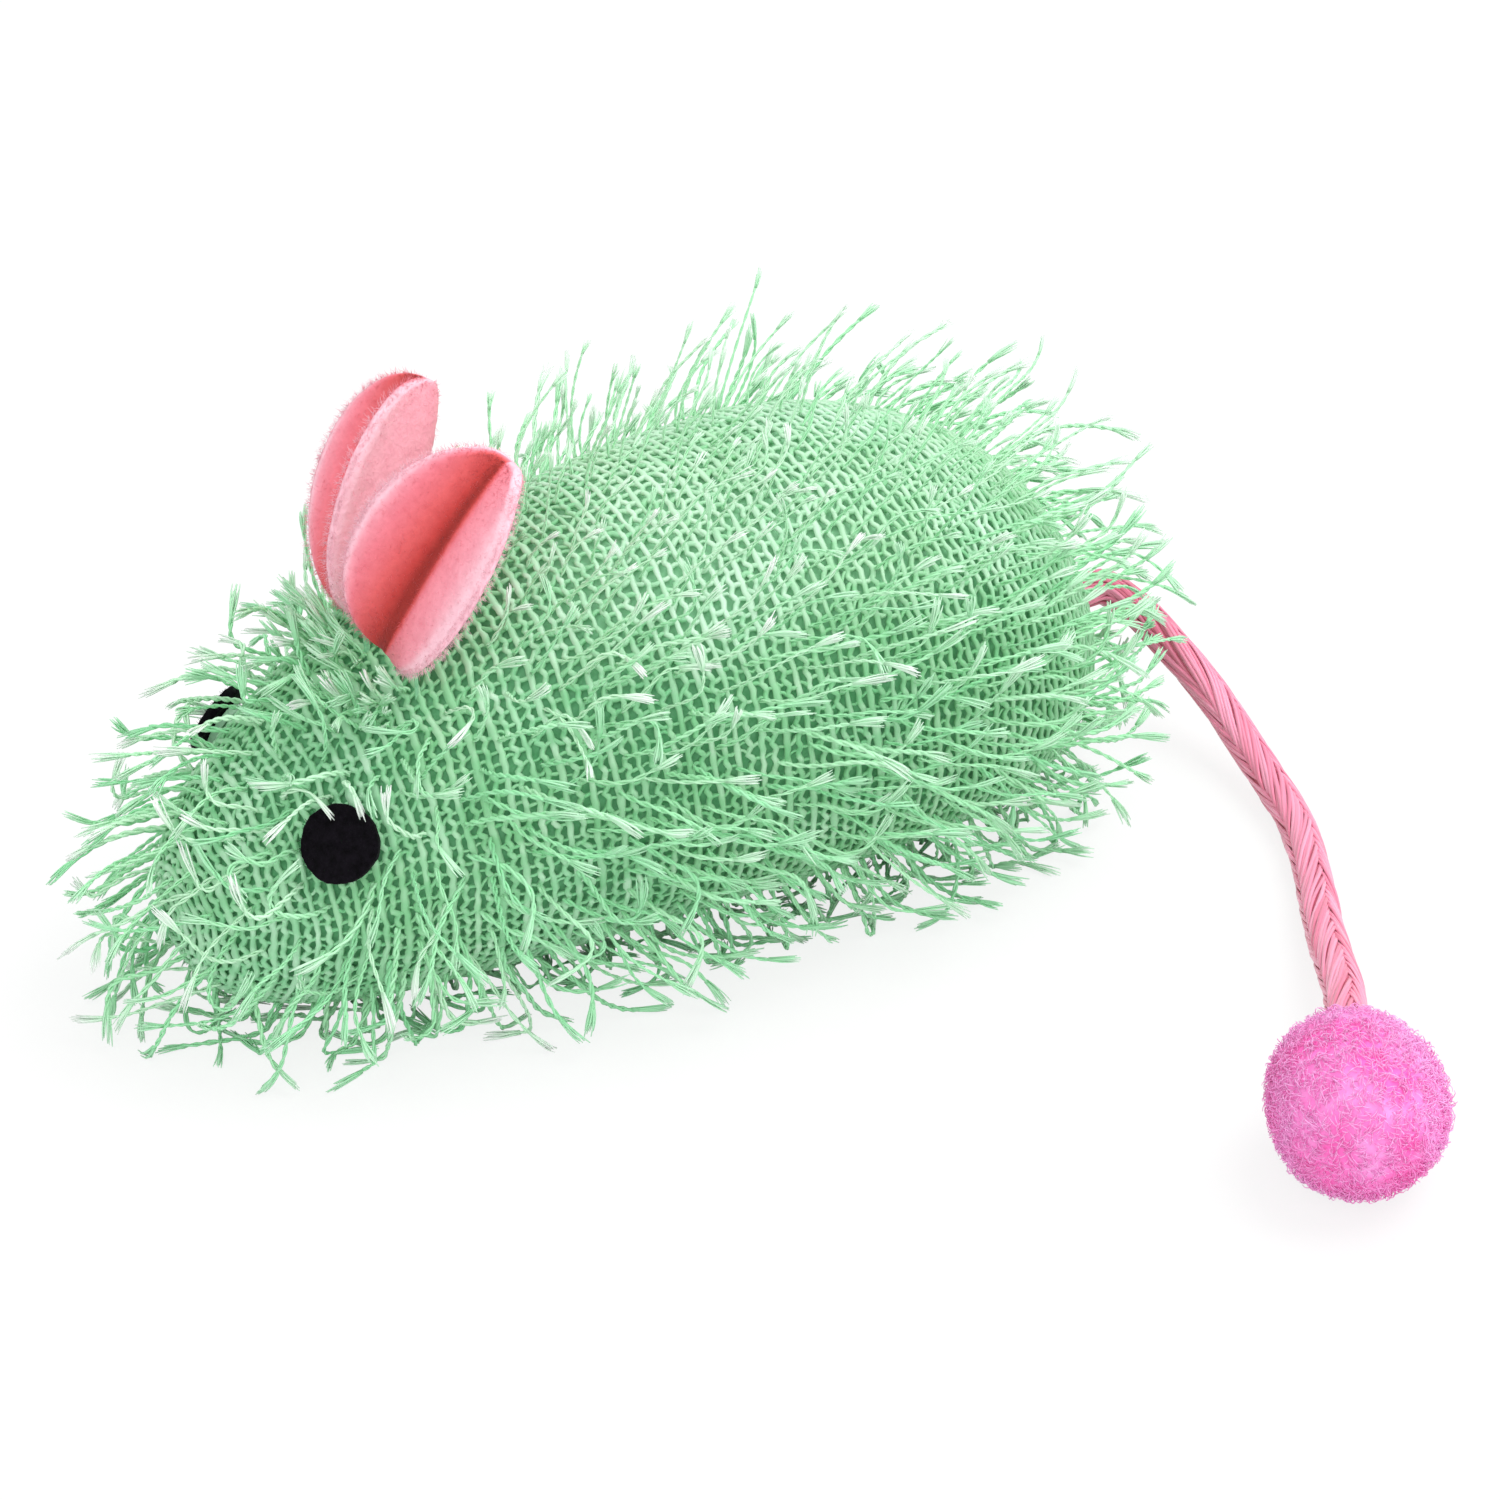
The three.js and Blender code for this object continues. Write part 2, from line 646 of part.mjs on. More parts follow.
function eyeDisc() {
  const radius = EYE_DIAMETER / 2;
  const edge = EYE_EDGE_RADIUS;
  const corner = edge * (1 - Math.SQRT1_2);
  const profile = [
    new THREE.Vector2(0, 0),
    new THREE.Vector2(radius - edge, 0),
    new THREE.Vector2(radius - corner, corner),
    new THREE.Vector2(radius, edge),
    new THREE.Vector2(radius, EYE_THICKNESS - edge),
    new THREE.Vector2(radius - corner, EYE_THICKNESS - corner),
    new THREE.Vector2(radius - edge, EYE_THICKNESS),
    new THREE.Vector2(0, EYE_THICKNESS),
  ];
  return new THREE.LatheGeometry(profile, ROUND_SIDES);
}

function eyePlace(name, side) {
  const station = stationAt(noseTip.y + EYE_BEHIND_NOSE);
  const place = skinPoint(station, THREE.MathUtils.degToRad(eyeAngles[name].round));
  place.x *= side;
  return place;
}

function addEye(name, side) {
  const yaw = THREE.MathUtils.degToRad(eyeAngles[name].yaw);
  const pitch = THREE.MathUtils.degToRad(eyeAngles[name].pitch);
  const level = Math.cos(pitch);
  const outward = new THREE.Vector3(side * Math.sin(yaw) * level, -Math.cos(yaw) * level, Math.sin(pitch));
  const place = eyePlace(name, side);
  const turned = new THREE.Quaternion().setFromUnitVectors(new THREE.Vector3(0, 1, 0), outward);

  const disc = addPiece(`eye_${name}`, eyeDisc(), finishes.eyeFelt);
  disc.quaternion.copy(turned);
  disc.position.copy(place).addScaledVector(outward, EYE_STAND_OFF);

  const depth = EYE_STAND_OFF - SEAT_GAP + CUT_OVERRUN;
  const dab = new THREE.CylinderGeometry(GLUE_DIAMETER / 2, GLUE_DIAMETER / 2, depth, ROUND_SIDES);
  dab.translate(0, EYE_STAND_OFF - SEAT_GAP - depth / 2, 0);
  dab.applyQuaternion(turned);
  dab.translate(place.x, place.y, place.z);
  const glue = solidOf(dab).subtract(clearOfCover);
  addPiece(`eye_${name}_glue`, geometryOf(glue), finishes.glue);
}

// Ears. In an ear's own frame the fold rises along +Z from its foot and the V opens to -Y.

function foldedFelt(across, height, offset) {
  const turn = (Math.PI - THREE.MathUtils.degToRad(EAR_OPENING_DEG)) / 2;
  const round = EAR_FOLD_RADIUS * turn;
  const q = Math.abs(across);
  const bent = Math.min(q, round) / EAR_FOLD_RADIUS;
  const straight = Math.max(q - round, 0);
  const reach = EAR_FOLD_RADIUS - offset;
  const x = reach * Math.sin(bent) + straight * Math.cos(turn);
  const y = -(EAR_FOLD_RADIUS - reach * Math.cos(bent) + straight * Math.sin(turn));
  return new THREE.Vector3(Math.sign(across) * x, y, height);
}

function earSection(share) {
  const height = (EAR_LENGTH * (1 - Math.cos(Math.PI * share))) / 2;
  const half = EAR_END_WIDTH / 2 + ((EAR_WIDTH - EAR_END_WIDTH) / 2) * Math.sin(Math.PI * share);
  const places = [0];
  for (const across of acrossShares) places.push(-across * half, across * half);
  places.sort((a, b) => a - b);
  const inner = places.map((q) => foldedFelt(q, height, EAR_THICKNESS / 2));
  const outer = places.map((q) => foldedFelt(q, height, -EAR_THICKNESS / 2));
  return inner.concat(outer.reverse());
}

function earSolid() {
  const sections = [];
  for (let i = 0; i <= EAR_ROWS; i++) sections.push(earSection(i / EAR_ROWS).reverse());
  const foot = new THREE.Vector3();
  const tip = new THREE.Vector3(0, 0, EAR_LENGTH);
  return solidOf(closedRings(sections, foot, tip));
}

function earTurn(side) {
  const turn = new THREE.Euler(
    -THREE.MathUtils.degToRad(EAR_LEAN_BACK_DEG),
    side * THREE.MathUtils.degToRad(EAR_LEAN_OUT_DEG),
    side * THREE.MathUtils.degToRad(EAR_TURN_OUT_DEG),
    'YXZ',
  );
  return new THREE.Quaternion().setFromEuler(turn);
}

// The foot of the fold stands so high that no point of the felt comes within the gap of the knit
function earFoot(side, turned, felt) {
  const foot = new THREE.Vector3((side * EAR_SPACING) / 2, noseTip.y + EAR_BEHIND_NOSE, 0);
  const places = felt.attributes.position;
  const p = new THREE.Vector3();
  let height = 0;
  for (let i = 0; i < places.count; i++) {
    p.fromBufferAttribute(places, i).applyQuaternion(turned).add(foot);
    height = Math.max(height, backHeight(p.x, p.y) + SEAT_GAP - p.z);
  }
  foot.z = height;
  return foot;
}

function stitchPoint(x, turned, foot) {
  return new THREE.Vector3(x, -STITCH_FORWARD, STITCH_HEIGHT).applyQuaternion(turned).add(foot);
}

function boredFelt() {
  const bore = new THREE.CylinderGeometry(
    STITCH_THREAD / 2 + SEAT_GAP, STITCH_THREAD / 2 + SEAT_GAP, STITCH_SPAN + CUT_OVERRUN, THREAD_SIDES * 2);
  bore.rotateZ(Math.PI / 2);
  bore.translate(0, -STITCH_FORWARD, STITCH_HEIGHT);
  return geometryOf(earSolid().subtract(solidOf(bore)));
}

// Points over the felt of both ears, folded back and forward on their stitches
function earTestPoints() {
  const points = [];
  const hinge = new THREE.Vector3(0, -STITCH_FORWARD, STITCH_HEIGHT);
  const foldAxis = new THREE.Vector3(1, 0, 0);
  for (const side of [1, -1]) {
    const turned = earTurn(side);
    const foot = earFoot(side, turned, boredFelt());
    for (const fold of earFoldTestDegs) {
      for (let i = 0; i <= EAR_TEST_ROWS; i++) {
        for (const p of earSection(i / EAR_TEST_ROWS)) {
          p.sub(hinge).applyAxisAngle(foldAxis, THREE.MathUtils.degToRad(fold)).add(hinge);
          points.push(p.applyQuaternion(turned).add(foot));
        }
      }
    }
  }
  return points;
}

function addEar(name, side) {
  const felt = boredFelt();
  const turned = earTurn(side);
  const foot = earFoot(side, turned, felt);
  const ear = addPiece(`ear_${name}`, felt, finishes.earFelt);
  ear.quaternion.copy(turned);
  ear.position.copy(foot);

  const points = [];
  for (const end of [-1, 1]) {
    const corner = stitchPoint((end * STITCH_SPAN) / 2, turned, foot);
    const before = stitchPoint(end * (STITCH_SPAN / 2 - STITCH_BEND), turned, foot);
    const below = corner.clone();
    below.z -= STITCH_BEND;
    const low = corner.clone();
    low.z -= STITCH_DROP;
    points.push(...(end < 0 ? [low, below, before] : [before, below, low]));
  }
  const thread = tube(points, STITCH_THREAD, THREAD_SIDES, STITCH_STEPS);
  const seated = solidOf(thread).subtract(clearOfCover);
  addPiece(`ear_${name}_stitch`, geometryOf(seated), finishes.thread);
}

// Tail

function addTailKnot() {
  const radius = CORD_DIAMETER / 2;
  const swell = KNOT_DIAMETER / 2 - radius;
  const front = -KNOT_DEPTH - KNOT_LENGTH;
  const profile = [new THREE.Vector2(0, front)];
  knotLengthShares.forEach((share, i) => {
    profile.push(new THREE.Vector2(radius + swell * knotSwellShares[i], front + KNOT_LENGTH * share));
  });
  for (let i = 0; i <= DOME_STEPS; i++) {
    const angle = ((Math.PI / 2) * i) / DOME_STEPS;
    profile.push(new THREE.Vector2(radius * Math.cos(angle), TAIL_PIVOT_OUT + radius * Math.sin(angle)));
  }
  profile[profile.length - 1].x = 0;
  const knot = addPiece('tail_knot', new THREE.LatheGeometry(profile, ROUND_SIDES), finishes.cord);
  knot.position.copy(tailRoot);

  const tack = ring(CORD_DIAMETER / 2 + SEAT_GAP + TACK_THREAD / 2, TACK_THREAD);
  tack.rotateX(Math.PI / 2);
  const thread = addPiece('tail_tack_thread', tack, finishes.thread);
  thread.position.copy(tailRoot);
  thread.position.y += SEAT_GAP + TACK_THREAD / 2;
}

function tailPoints() {
  return tailRoute.map(([across, behind, above]) => new THREE.Vector3(across, tailRoot.y + behind, above));
}

function addTail() {
  const points = tailPoints();
  addPiece('tail_cord', tube(points, CORD_DIAMETER, CORD_SIDES, CORD_STEPS), finishes.cord);

  const end = points[points.length - 1];
  const along = end.clone().sub(points[points.length - 2]).normalize();
  const centre = end.clone().addScaledVector(along, POMPOM_BEYOND_CORD);
  const radius = POMPOM_DIAMETER / 2;
  centre.z = radius - POMPOM_FLAT_DEPTH;

  // In the pompom's own frame the cord comes in from +Y
  const inward = end.clone().sub(points[points.length - 3]).normalize();
  const turned = new THREE.Quaternion().setFromUnitVectors(new THREE.Vector3(0, -1, 0), inward);
  const tieRadius = CORD_DIAMETER / 2 + SEAT_GAP + TIE_THREAD / 2;
  const grooveRadius = tieRadius + TIE_THREAD / 2 + SEAT_GAP;
  const tieStart = POMPOM_BEYOND_CORD + TIE_INSIDE;
  const socketEnd = POMPOM_BEYOND_CORD - SEAT_GAP;
  const mouth = rodSolid(tailHole + SEAT_GAP, socketEnd, radius + CUT_OVERRUN, 0, 0);
  const groove = rodSolid(grooveRadius, tieStart - SEAT_GAP, tieStart + TIE_THREAD + SEAT_GAP, 0, 0);
  const cutter = geometryOf(mouth.add(groove));
  cutter.applyQuaternion(turned);
  const ball = new THREE.SphereGeometry(radius, ROUND_SIDES, POMPOM_ROWS);
  ball.rotateX(Math.PI / 2);
  const floorCut = boxSolid(-radius, radius, -radius, radius, -radius, -centre.z);
  const yarn = solidOf(ball).subtract(solidOf(cutter)).subtract(floorCut);
  const pompom = addPiece('pompom', geometryOf(yarn), finishes.pompom);
  pompom.position.copy(centre);

  const loop = ring(tieRadius, TIE_THREAD);
  loop.rotateX(Math.PI / 2);
  loop.translate(0, tieStart + TIE_THREAD / 2, 0);
  const tie = addPiece('pompom_tie', loop, finishes.thread);
  tie.quaternion.copy(turned);
  tie.position.copy(centre);
}

addSkins();
addStuffingAndPouch();
addSeamThread();
addNoseThread();
for (const [name, side] of [['left', 1], ['right', -1]]) {
  addEye(name, side);
  addEar(name, side);
}
addTailKnot();
addTail();

export default group;
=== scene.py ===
import math

import bpy
import numpy as np
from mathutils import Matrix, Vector
from mathutils.kdtree import KDTree


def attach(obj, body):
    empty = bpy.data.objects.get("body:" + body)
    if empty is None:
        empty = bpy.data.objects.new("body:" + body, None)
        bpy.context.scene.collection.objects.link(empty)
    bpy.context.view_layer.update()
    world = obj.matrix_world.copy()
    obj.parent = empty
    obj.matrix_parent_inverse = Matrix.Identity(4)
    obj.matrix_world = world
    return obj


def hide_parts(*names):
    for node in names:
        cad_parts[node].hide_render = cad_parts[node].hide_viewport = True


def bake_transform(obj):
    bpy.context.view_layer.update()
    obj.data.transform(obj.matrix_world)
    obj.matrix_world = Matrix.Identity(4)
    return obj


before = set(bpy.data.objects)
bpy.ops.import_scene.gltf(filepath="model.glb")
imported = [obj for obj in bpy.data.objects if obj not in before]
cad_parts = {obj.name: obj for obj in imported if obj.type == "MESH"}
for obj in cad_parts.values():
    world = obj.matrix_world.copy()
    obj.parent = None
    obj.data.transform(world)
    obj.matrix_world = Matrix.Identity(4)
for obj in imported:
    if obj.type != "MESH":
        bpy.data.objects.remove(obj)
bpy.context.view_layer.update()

# Catnip mouse. Points are worked out in millimetres in the CAD frame (nose to -Y, mouse's left +X,
# +Z up, floor at 0) and written to the meshes in metres. A station runs along the body, from 0 at the
# nose to 1 at the rump.
MM = 0.001
TURN = 2 * math.pi

# Camera

AIM = (5.0, 13.0, 14.5)
CAMERA_DISTANCE = 460.0
CAMERA_AZIMUTH = math.radians(60)
CAMERA_ELEVATION = math.radians(35)
CAMERA_LENS = 98.3
SENSOR_WIDTH = 36


def add_camera():
    level = math.cos(CAMERA_ELEVATION)
    back = Vector((math.sin(CAMERA_AZIMUTH) * level, -math.cos(CAMERA_AZIMUTH) * level,
                   math.sin(CAMERA_ELEVATION)))
    data = bpy.data.cameras.new("camera")
    data.lens = CAMERA_LENS
    data.sensor_width = SENSOR_WIDTH
    data.clip_start = 0.01
    camera = add_object("camera", data)
    camera.location = (Vector(AIM) + back * CAMERA_DISTANCE) * MM
    camera.rotation_euler = (-back).to_track_quat("-Z", "Y").to_euler()
    bpy.context.scene.camera = camera


# Small helpers

def add_object(name, data):
    made = bpy.data.objects.new(name, data)
    bpy.context.scene.collection.objects.link(made)
    return made


def dice(seed):
    return np.random.default_rng(seed)


def unit(v):
    return v / np.maximum(np.linalg.norm(v, axis=-1, keepdims=True), 1e-12)


def square_to(direction, v):
    """v without its part along a unit direction, made a unit vector."""
    return unit(v - direction * (v * direction).sum(-1, keepdims=True))


def smooth(t):
    t = np.clip(t, 0, 1)
    return t * t * (3 - 2 * t)


def run_along(line):
    """How far along a line each of its points lies."""
    return np.concatenate([[0], np.cumsum(np.linalg.norm(np.diff(line, axis=0), axis=1))])


def with_ends(points):
    """The points with one more beyond each end, for a spline."""
    return np.concatenate([[2 * points[0] - points[1]], points, [2 * points[-1] - points[-2]]])


def spline(a, b, c, d, t):
    """A share t of the way from b to c, on a smooth curve through a, b, c and d."""
    return b + ((c - a) * t + (2 * a - 5 * b + 4 * c - d) * t ** 2 + (3 * b - a - 3 * c + d) * t ** 3) / 2


def turn_about(axis, angle):
    """The matrix of a turn about axis 0, 1 or 2."""
    i, j = (axis + 1) % 3, (axis + 2) % 3
    turn = np.eye(3)
    turn[i, i] = turn[j, j] = math.cos(angle)
    turn[j, i], turn[i, j] = math.sin(angle), -math.sin(angle)
    return turn


def linear(code):
    parts = [int(code[i:i + 2], 16) / 255 for i in (0, 2, 4)]
    return tuple(c / 12.92 if c <= 0.04045 else ((c + 0.055) / 1.055) ** 2.4 for c in parts) + (1.0,)


# Meshes

STRIP_ROWS = 64


def untwisted(tangent):
    """Directions square to the tangents (n, p, 3) of paths, carried along without twist."""
    level = np.abs(tangent[:, 0, 2:]) < 0.8
    ups = np.empty_like(tangent)
    ups[:, 0] = square_to(tangent[:, 0], np.where(level, [0, 0, 1.0], [1.0, 0, 0]))
    for i in range(1, tangent.shape[1]):
        ups[:, i] = square_to(tangent[:, i], ups[:, i - 1])
    return ups


def sweep(paths, wide, thin, sides, ups=None, closed=False):
    """Tubes along paths (n, p, 3) with half sizes wide and thin (n, p)."""
    n, p, _ = paths.shape
    if closed:
        tangent = unit(np.roll(paths, -1, axis=1) - np.roll(paths, 1, axis=1))
    else:
        tangent = unit(np.gradient(paths, axis=1))
    ups = untwisted(tangent) if ups is None else square_to(tangent, ups)
    across = np.cross(tangent, ups)
    angle = np.arange(sides) * TURN / sides
    c = np.cos(angle)[:, None] * wide[:, :, None, None]
    s = np.sin(angle)[:, None] * thin[:, :, None, None]
    points = paths[:, :, None] + c * across[:, :, None] + s * ups[:, :, None]
    base = (np.arange(n) * p * sides)[:, None, None]
    row = (np.arange(p if closed else p - 1) * sides)[None, :, None]
    side = np.arange(sides)[None, None, :]
    nxt = (side + 1) % sides
    up = (row + sides) % (p * sides)
    quads = np.stack([base + row + side, base + row + nxt, base + up + nxt, base + up + side], -1)
    faces = [quads.reshape(-1, 4)]
    if not closed:
        faces += [base[:, 0] + np.arange(sides)[::-1], base[:, 0] + (p - 1) * sides + np.arange(sides)]
    return points.reshape(-1, 3), faces


def strip_places(n, p, sides, span):
    """A place in the texture square for each vertex: along the tube, in one of the rows."""
    along = span[0] + span[1] * np.linspace(0.01, 0.99, p)[None, :, None]
    row = (np.arange(n) % STRIP_ROWS)[:, None, None]
    fold = np.abs(2 * np.arange(sides) / sides - 1)[None, None, :]
    u = np.broadcast_to(along, (n, p, sides))
    v = np.broadcast_to((row + 0.15 + 0.7 * fold) / STRIP_ROWS, (n, p, sides))
    return np.stack([u, v], -1).reshape(-1, 2)


def grid_places(u, v):
    """Places in the texture square, a little inside its edges."""
    return np.stack(np.broadcast_arrays(u, v), -1).reshape(-1, 2) * 0.98 + 0.01


def capped_faces(rows, columns, flip=False):
    """Faces between rows of points that run round, closed by two more points at the two ends."""
    i, j = np.meshgrid(np.arange(rows - 1), np.arange(columns), indexing="ij")
    here, beside = i * columns + j, i * columns + (j + 1) % columns
    quads = np.stack([here, here + columns, beside + columns, beside], -1).reshape(-1, 4)
    j = np.arange(columns)
    nxt, last, tip = (j + 1) % columns, (rows - 1) * columns, np.full(columns, rows * columns)
    faces = [quads, np.stack([tip, j, nxt], -1), np.stack([tip + 1, last + nxt, last + j], -1)]
    return [np.roll(face[:, ::-1], 1, axis=1) for face in faces] if flip else faces


class Shape:
    """Vertices, faces and named vertex values, gathered before they go into one mesh."""

    def __init__(self):
        self.points, self.faces, self.values, self.places = [], [], [], []
        self.count = 0
        self.triangles = 0

    def add(self, points, faces, values, places):
        """points (n, 3), faces a list of index arrays, values {name: (n,)}, places (n, 2)."""
        self.points.append(points)
        self.values.append(values)
        self.places.append(places)
        for face in faces:
            self.faces.append(face + self.count)
            self.triangles += len(face) * (face.shape[1] - 2)
        self.count += len(points)

    def tubes(self, paths, wide, thin, sides, values, places=None, span=(0, 1), **how):
        """Tubes along paths (n, p, 3), with half sizes, values and places for each point of the paths."""
        n, p, _ = paths.shape
        wide, thin = np.broadcast_to(wide, (n, p)), np.broadcast_to(thin, (n, p))
        points, faces = sweep(paths, wide, thin, sides, **how)
        values = {key: np.repeat(np.broadcast_to(value, (n, p)), sides) for key, value in values.items()}
        if places is None:
            places = strip_places(n, p, sides, span)
        else:
            places = np.repeat(places, sides, axis=0)
        self.add(points, faces, values, places)

    def object(self, name, look, body, slot):
        points = np.concatenate(self.points) * MM
        mesh = bpy.data.meshes.new(name)
        mesh.vertices.add(len(points))
        mesh.vertices.foreach_set("co", points.astype(np.float32).ravel())
        loops = np.concatenate([face.ravel() for face in self.faces]).astype(np.int32)
        sizes = np.concatenate([np.full(len(face), face.shape[1]) for face in self.faces]).astype(np.int32)
        mesh.loops.add(len(loops))
        mesh.loops.foreach_set("vertex_index", loops)
        mesh.polygons.add(len(sizes))
        starts = np.concatenate([[0], np.cumsum(sizes)[:-1]]).astype(np.int32)
        mesh.polygons.foreach_set("loop_start", starts)
        mesh.update(calc_edges=True)
        mesh.validate()
        mesh.shade_smooth()
        for key in self.values[0]:
            layer = mesh.attributes.new(key, "FLOAT", "POINT")
            layer.data.foreach_set("value", np.concatenate([v[key] for v in self.values]).astype(np.float32))
        uv = mesh.uv_layers.new(name="OFBake")
        spots = np.concatenate(self.places)
        index = np.zeros(len(mesh.loops), np.int32)
        mesh.loops.foreach_get("vertex_index", index)
        uv.data.foreach_set("uv", spots[index].astype(np.float32).ravel())
        mesh.materials.append(MATERIALS[look])
        made = add_object(name, mesh)
        if body:
            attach(made, body)
        return made


# Body surface, from the same numbers as the CAD solids

BODY_LENGTH, BODY_WIDTH, BODY_HEIGHT = 112.0, 56.0, 51.0
HIP_HEIGHT = 22.5
BELLY_FLAT_DEPTH = 0.5
WIDTH_SHARES = np.array([0, 0.375, 0.625, 0.81, 0.946, 1, 0.911, 0.589, 0])
MIDDLE_SHARES = np.array([0.62, 0.62, 0.71, 0.845, 0.98, 1, 0.955, 0.89, 0.78])
UPPER_SHARES = np.array([0, 0.351, 0.667, 0.923, 0.993, 1, 0.842, 0.526, 0])
LOWER_SHARES = np.array([0, 0.69, 0.97, 1, 1, 1, 0.955, 0.634, 0])
SKIN_STEP = 0.002
MERIDIANS = 8


def share_at(shares, station):
    last = len(shares) - 1
    place = np.clip(station, 0, 1) * last
    i = np.minimum(place.astype(int), last - 1)
    longer = with_ends(shares)
    return np.clip(spline(*(longer[i + k] for k in range(4)), place - i), 0, 1)


def bare_skin(station, angle):
    middle = HIP_HEIGHT * share_at(MIDDLE_SHARES, station)
    rise = (BODY_HEIGHT - HIP_HEIGHT) * share_at(UPPER_SHARES, station)
    drop = (middle + BELLY_FLAT_DEPTH) * share_at(LOWER_SHARES, station)
    s = np.sin(angle)
    x = BODY_WIDTH / 2 * share_at(WIDTH_SHARES, station) * np.cos(angle)
    y = -BODY_LENGTH / 2 * np.cos(math.pi * station)
    return np.stack([x, y, middle + np.where(s > 0, rise, drop) * s], -1)


def skin(station, angle, depth):
    """Points and outward normals of the body's skin, moved in by a depth."""
    station, angle, depth = np.broadcast_arrays(np.asarray(station, float), angle, depth)
    a, b = (np.clip(station + step, 0.0005, 0.9995) for step in (-SKIN_STEP, SKIN_STEP))
    lengthways = bare_skin(b, angle) - bare_skin(a, angle)
    mid = np.clip(station, SKIN_STEP, 1 - SKIN_STEP)
    girthways = bare_skin(mid, angle + SKIN_STEP) - bare_skin(mid, angle - SKIN_STEP)
    normal = unit(np.cross(lengthways, girthways))
    point = bare_skin(station, angle) - normal * depth[..., None]
    point[..., 2] = np.maximum(point[..., 2], depth)
    return point, normal


def skin_over(x, y, depth):
    """The upper skin over places on the floor."""
    station = np.arccos(-y * 2 / BODY_LENGTH) / math.pi
    half = BODY_WIDTH / 2 * share_at(WIDTH_SHARES, station)
    return skin(station, np.arccos(np.clip(x / half, -1, 1)), depth)


STATIONS = np.linspace(0, 1, 1601)
# the way from the nose to each station, as the mean of the body's meridians
ALONG = sum(run_along(bare_skin(STATIONS, np.full_like(STATIONS, angle)))
            for angle in np.arange(MERIDIANS) * TURN / MERIDIANS) / MERIDIANS


def station_of(place):
    return np.interp(place, ALONG, STATIONS)


def girth_run(station):
    """Angles round the body at a station, and the way round it to each of them."""
    angles = np.linspace(0, TURN, 721)
    return angles, run_along(bare_skin(np.full_like(angles, station), angles))


def girth_at(station):
    return girth_run(station)[1][-1]


def round_angles(station, count):
    """Angles that spread count points evenly round the body at a station."""
    angles, run = girth_run(station)
    return np.interp(np.arange(count) / count * run[-1], run, angles)


# Materials

def feed(tree, node, inputs):
    """Set a node's inputs to constants, or link them to sockets."""
    for key, value in inputs.items():
        if isinstance(value, bpy.types.NodeSocket):
            tree.links.new(value, node.inputs[key])
        else:
            node.inputs[key].default_value = value
    return node


def add_node(tree, kind, inputs):
    return feed(tree, tree.nodes.new(kind), inputs)


def new_material(name):
    material = bpy.data.materials.new(name)
    material.use_nodes = True
    tree = material.node_tree
    tree.nodes.clear()
    shader = add_node(tree, "ShaderNodeBsdfPrincipled", {})
    output = add_node(tree, "ShaderNodeOutputMaterial", {"Surface": shader.outputs[0]})
    return material, tree, shader, output


def noise(tree, scale, detail=3, rough=0.6):
    place = add_node(tree, "ShaderNodeTexCoord", {}).outputs["Object"]
    inputs = {"Vector": place, "Scale": scale, "Detail": detail, "Roughness": rough}
    return add_node(tree, "ShaderNodeTexNoise", inputs).outputs["Fac"]


def value_of(tree, name):
    node = tree.nodes.new("ShaderNodeAttribute")
    node.attribute_name = name
    return node.outputs["Fac"]


def ramp(tree, fac, *stops):
    node = add_node(tree, "ShaderNodeValToRGB", {"Fac": fac})
    elements = node.color_ramp.elements
    while len(elements) < len(stops):
        elements.new(0.5)
    for element, (place, code) in zip(elements, stops):
        element.position = place
        element.color = linear(code)
    return node.outputs["Color"]


def blend_colors(tree, kind, fac, a, b):
    node = tree.nodes.new("ShaderNodeMix")
    node.data_type = "RGBA"
    node.blend_type = kind
    return feed(tree, node, {0: fac, 6: a, 7: b}).outputs[2]


def cloth(name, color, roughness, sheen, specular, grain_scale, grain_strength, grain_depth, tint="FFFFFF"):
    """color is a function of the node tree that returns a colour socket."""
    material, tree, shader, _ = new_material(name)
    grain = add_node(tree, "ShaderNodeBump", {
        "Strength": grain_strength, "Distance": grain_depth, "Height": noise(tree, grain_scale, 4)})
    feed(tree, shader, {
        "Base Color": color(tree), "Roughness": roughness, "Specular IOR Level": specular,
        "Sheen Weight": sheen, "Sheen Roughness": 0.5, "Sheen Tint": linear(tint),
        "Normal": grain.outputs["Normal"]})
    return material


def yarn_color(tree):
    # the tone holds random tone, painted light on the back and painted shade where the yarn lies deep
    base = ramp(tree, value_of(tree, "tone"), (0.0, "7AC691"), (0.5, "98D4A7"), (1.0, "CDEDD5"))
    patch = ramp(tree, noise(tree, 60), (0.35, "E4F2E2"), (0.65, "FFFFFF"))
    return blend_colors(tree, "MULTIPLY", 1.0, base, patch)


def lash_color(tree):
    stem = ramp(tree, value_of(tree, "hue"), (0.0, "9AE6B0"), (0.5, "B9F4C6"), (1.0, "D8FCDE"))
    fleck = ramp(tree, value_of(tree, "tone"), (0.0, "DCF2E0"), (0.5, "F4FCF5"), (1.0, "FFFFFF"))
    stem = blend_colors(tree, "MULTIPLY", 0.8, stem, fleck)
    tip = ramp(tree, value_of(tree, "hue"), (0.0, "ACECBE"), (0.5, "D2F8DA"), (1.0, "FFFFFF"))
    near_end = ramp(tree, value_of(tree, "along"), (0.6, "000000"), (0.95, "FFFFFF"))
    return blend_colors(tree, "MIX", near_end, stem, tip)


def lining_color(tree):
    side = ramp(tree, noise(tree, 900), (0.3, "6AB882"), (0.7, "85CB9A"))
    # mixed paler by the tone, which is painted light on the back
    return blend_colors(tree, "MIX", value_of(tree, "tone"), side, linear("ABE2BB"))


